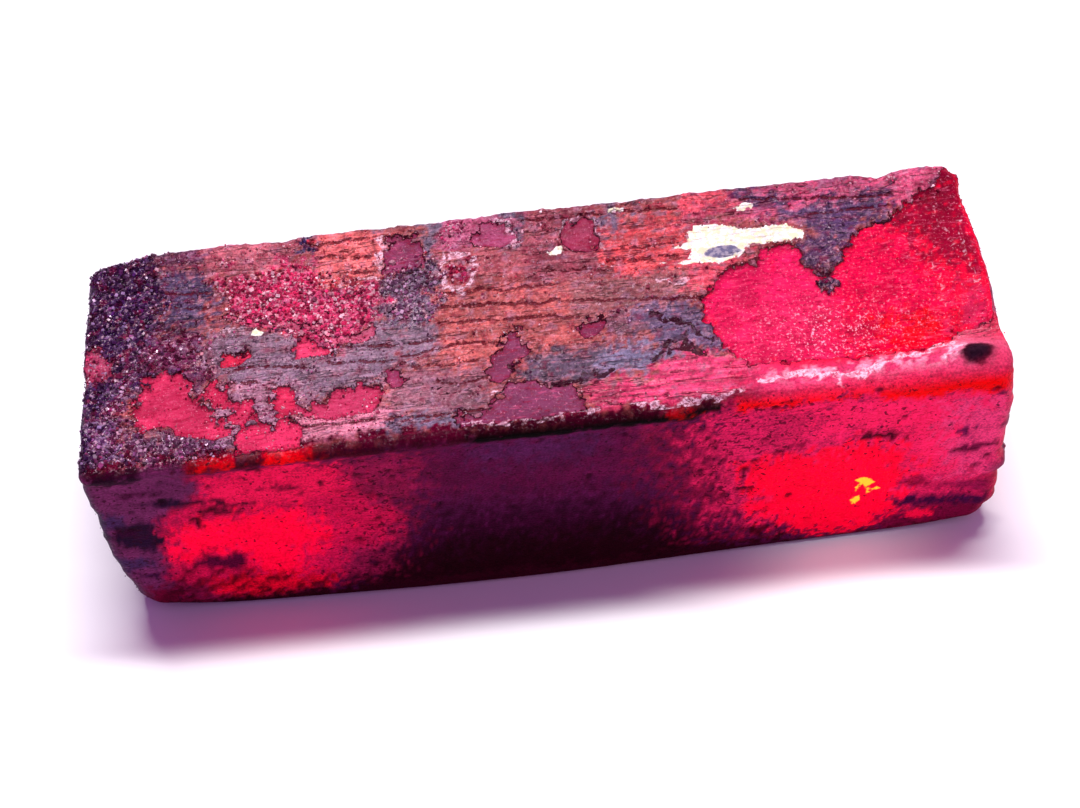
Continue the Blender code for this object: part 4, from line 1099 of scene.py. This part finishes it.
    height = t.plus(t.times(streaks["Height"], 2.2), t.times(grains["Height"], 2.2))
    height = t.times(height, t.minus(1.0, smooth))
    height = t.plus(height, t.plus(t.times(fine, 0.8), t.times(smooth, -1.6)))
    height = t.minus(height, t.times(groove, 1.5))
    bump = t.add("ShaderNodeBump", {"Height": height, "Strength": 0.8, "Distance": 0.0001}).outputs[0]
    rough = t.add("ShaderNodeMix", {0: white, 2: 0.5, 3: 0.8}).outputs[0]
    material.cycles.emission_sampling = "NONE"
    wet = t.times(t.amount("wet"), t.minus(1.0, white))
    t.finish({"Base Color": tint, "Roughness": rough, "IOR": BERYL_IOR, "Specular IOR Level": 0.01,
              "Coat Weight": wet, "Coat Roughness": 0.1, "Coat IOR": BERYL_IOR,
              "Normal": bump, "Coat Normal": bump, "Emission Color": glow, "Emission Strength": 0.5})
    return material


def grain_finish():
    """Glassy little facets, each grain with its own tint."""
    material, t = new_material("red_beryl_grains")
    cloudy = t.noise(t.mapped(t.object_place(), PER_METRE), 9.0, 2.0)
    tint = t.mix(t.ramp(cloudy, 0.35, 0.6, 0.35, 0.0), t.tint("crust"), (60, 10, 36))
    t.finish({"Base Color": tint, "Roughness": t.ramp(cloudy, 0.3, 0.7, 0.16, 0.4), "IOR": BERYL_IOR,
              "Specular IOR Level": 0.35, "Specular Tint": (1.0, 0.72, 0.92, 1.0)})
    return material


def table_finish():
    """Matt and almost white, faintly mottled."""
    material, t = new_material("pale_table")
    mottle = t.ramp(t.noise(t.object_place(), 60.0, 3.0), 0.3, 0.7)
    tint = t.mix(mottle, (0.86, 0.86, 0.88, 1.0), (0.89, 0.89, 0.9, 1.0))
    t.finish({"Base Color": tint, "Roughness": 0.6})
    return material


# ---- table, light and camera
def add_table():
    bpy.ops.object.select_all(action="DESELECT")
    bpy.ops.mesh.primitive_plane_add(size=3.0, location=(0.0, 0.0, -0.00002))
    table = bpy.context.object
    table.name = "table"
    bpy.ops.object.transform_apply(location=True, rotation=False, scale=False)
    table.data.materials.append(table_finish())


def hang(light, watts, place, target):
    lamp = bpy.data.objects.new(light.name, light)
    light.energy = watts
    lamp.location = place
    lamp.rotation_euler = (Vector(target) - lamp.location).to_track_quat("-Z", "Y").to_euler()
    bpy.context.scene.collection.objects.link(lamp)


def add_lamp(name, watts, place, size, rgb):
    light = bpy.data.lights.new(name, "AREA")
    light.shape = "RECTANGLE"
    light.size, light.size_y = size
    light.color = rgb
    hang(light, watts, place, (0.0, 0.0, 0.007))


def add_glint(watts, place, target):
    """Light that has come through the crystal, on the table before its right half."""
    light = bpy.data.lights.new("glint", "SPOT")
    light.spot_size = math.radians(14.0)
    light.spot_blend = 1.0
    light.shadow_soft_size = 0.003
    hang(light, watts, place, target)


def add_world(rgb, strength):
    """A violet fill from all round, before a pale backdrop."""
    world = bpy.data.worlds.new("room")
    world.use_nodes = True
    t = Tree(world.node_tree)
    fill = t.add("ShaderNodeBackground", {"Color": (*rgb, 1.0), "Strength": strength})
    behind = t.add("ShaderNodeBackground", {"Color": (0.93, 0.93, 0.95, 1.0), "Strength": 1.0})
    seen = t.add("ShaderNodeLightPath").outputs["Is Camera Ray"]
    both = t.add("ShaderNodeMixShader", {0: seen, 1: fill.outputs[0], 2: behind.outputs[0]})
    t.add("ShaderNodeOutputWorld", {"Surface": both.outputs[0]})
    bpy.context.scene.world = world


def add_camera():
    """Looks down on the front of the crystal, rolled so that it climbs a little to the right."""
    turn, lift, roll = math.radians(1.12), math.radians(55.8), math.radians(-7.29)
    distance, aside, above = 0.11824, -0.0002, -0.00042
    middle = Vector((0.0, 0.0, 0.0075))
    back = Vector((math.sin(turn) * math.cos(lift), -math.cos(turn) * math.cos(lift), math.sin(lift)))
    right = Vector((math.cos(turn), math.sin(turn), 0.0))
    up = back.cross(right)
    side = math.cos(roll) * right + math.sin(roll) * up
    over = -math.sin(roll) * right + math.cos(roll) * up
    data = bpy.data.cameras.new("camera")
    data.sensor_width = 36.0
    data.lens = 67.15
    data.clip_start = 0.01
    camera = bpy.data.objects.new("camera", data)
    turned = Matrix((side, over, back)).transposed().to_4x4()
    place = middle + aside * side + above * over + distance * back
    camera.matrix_world = Matrix.Translation(place) @ turned
    bpy.context.scene.collection.objects.link(camera)
    bpy.context.scene.camera = camera


# ---- assembly
def main():
    crystal = gridded_block("beryl_body")
    crystal_surface(crystal)
    crystal.data.materials.append(beryl_finish())
    crystal.data.shade_smooth()
    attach(crystal, "root")
    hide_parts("crystal")

    grains = add_grains("crust_grains", crystal)
    grains.data.materials.append(grain_finish())
    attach(grains, "root")

    add_table()
    add_lamp("overhead", 1.22, (0.012, 0.053, 0.31), (0.15, 0.022), (1.0, 1.0, 0.99))
    add_lamp("side", 0.012, (0.115, -0.04, 0.065), (0.04, 0.04), (1.0, 0.97, 0.98))
    add_glint(0.023, (0.0165, -0.014, 0.05), (0.0165, -0.0094, 0.0))
    add_world((0.68, 0.26, 0.76), 0.42)
    add_camera()
    bpy.context.scene.view_settings.view_transform = "Standard"


main()
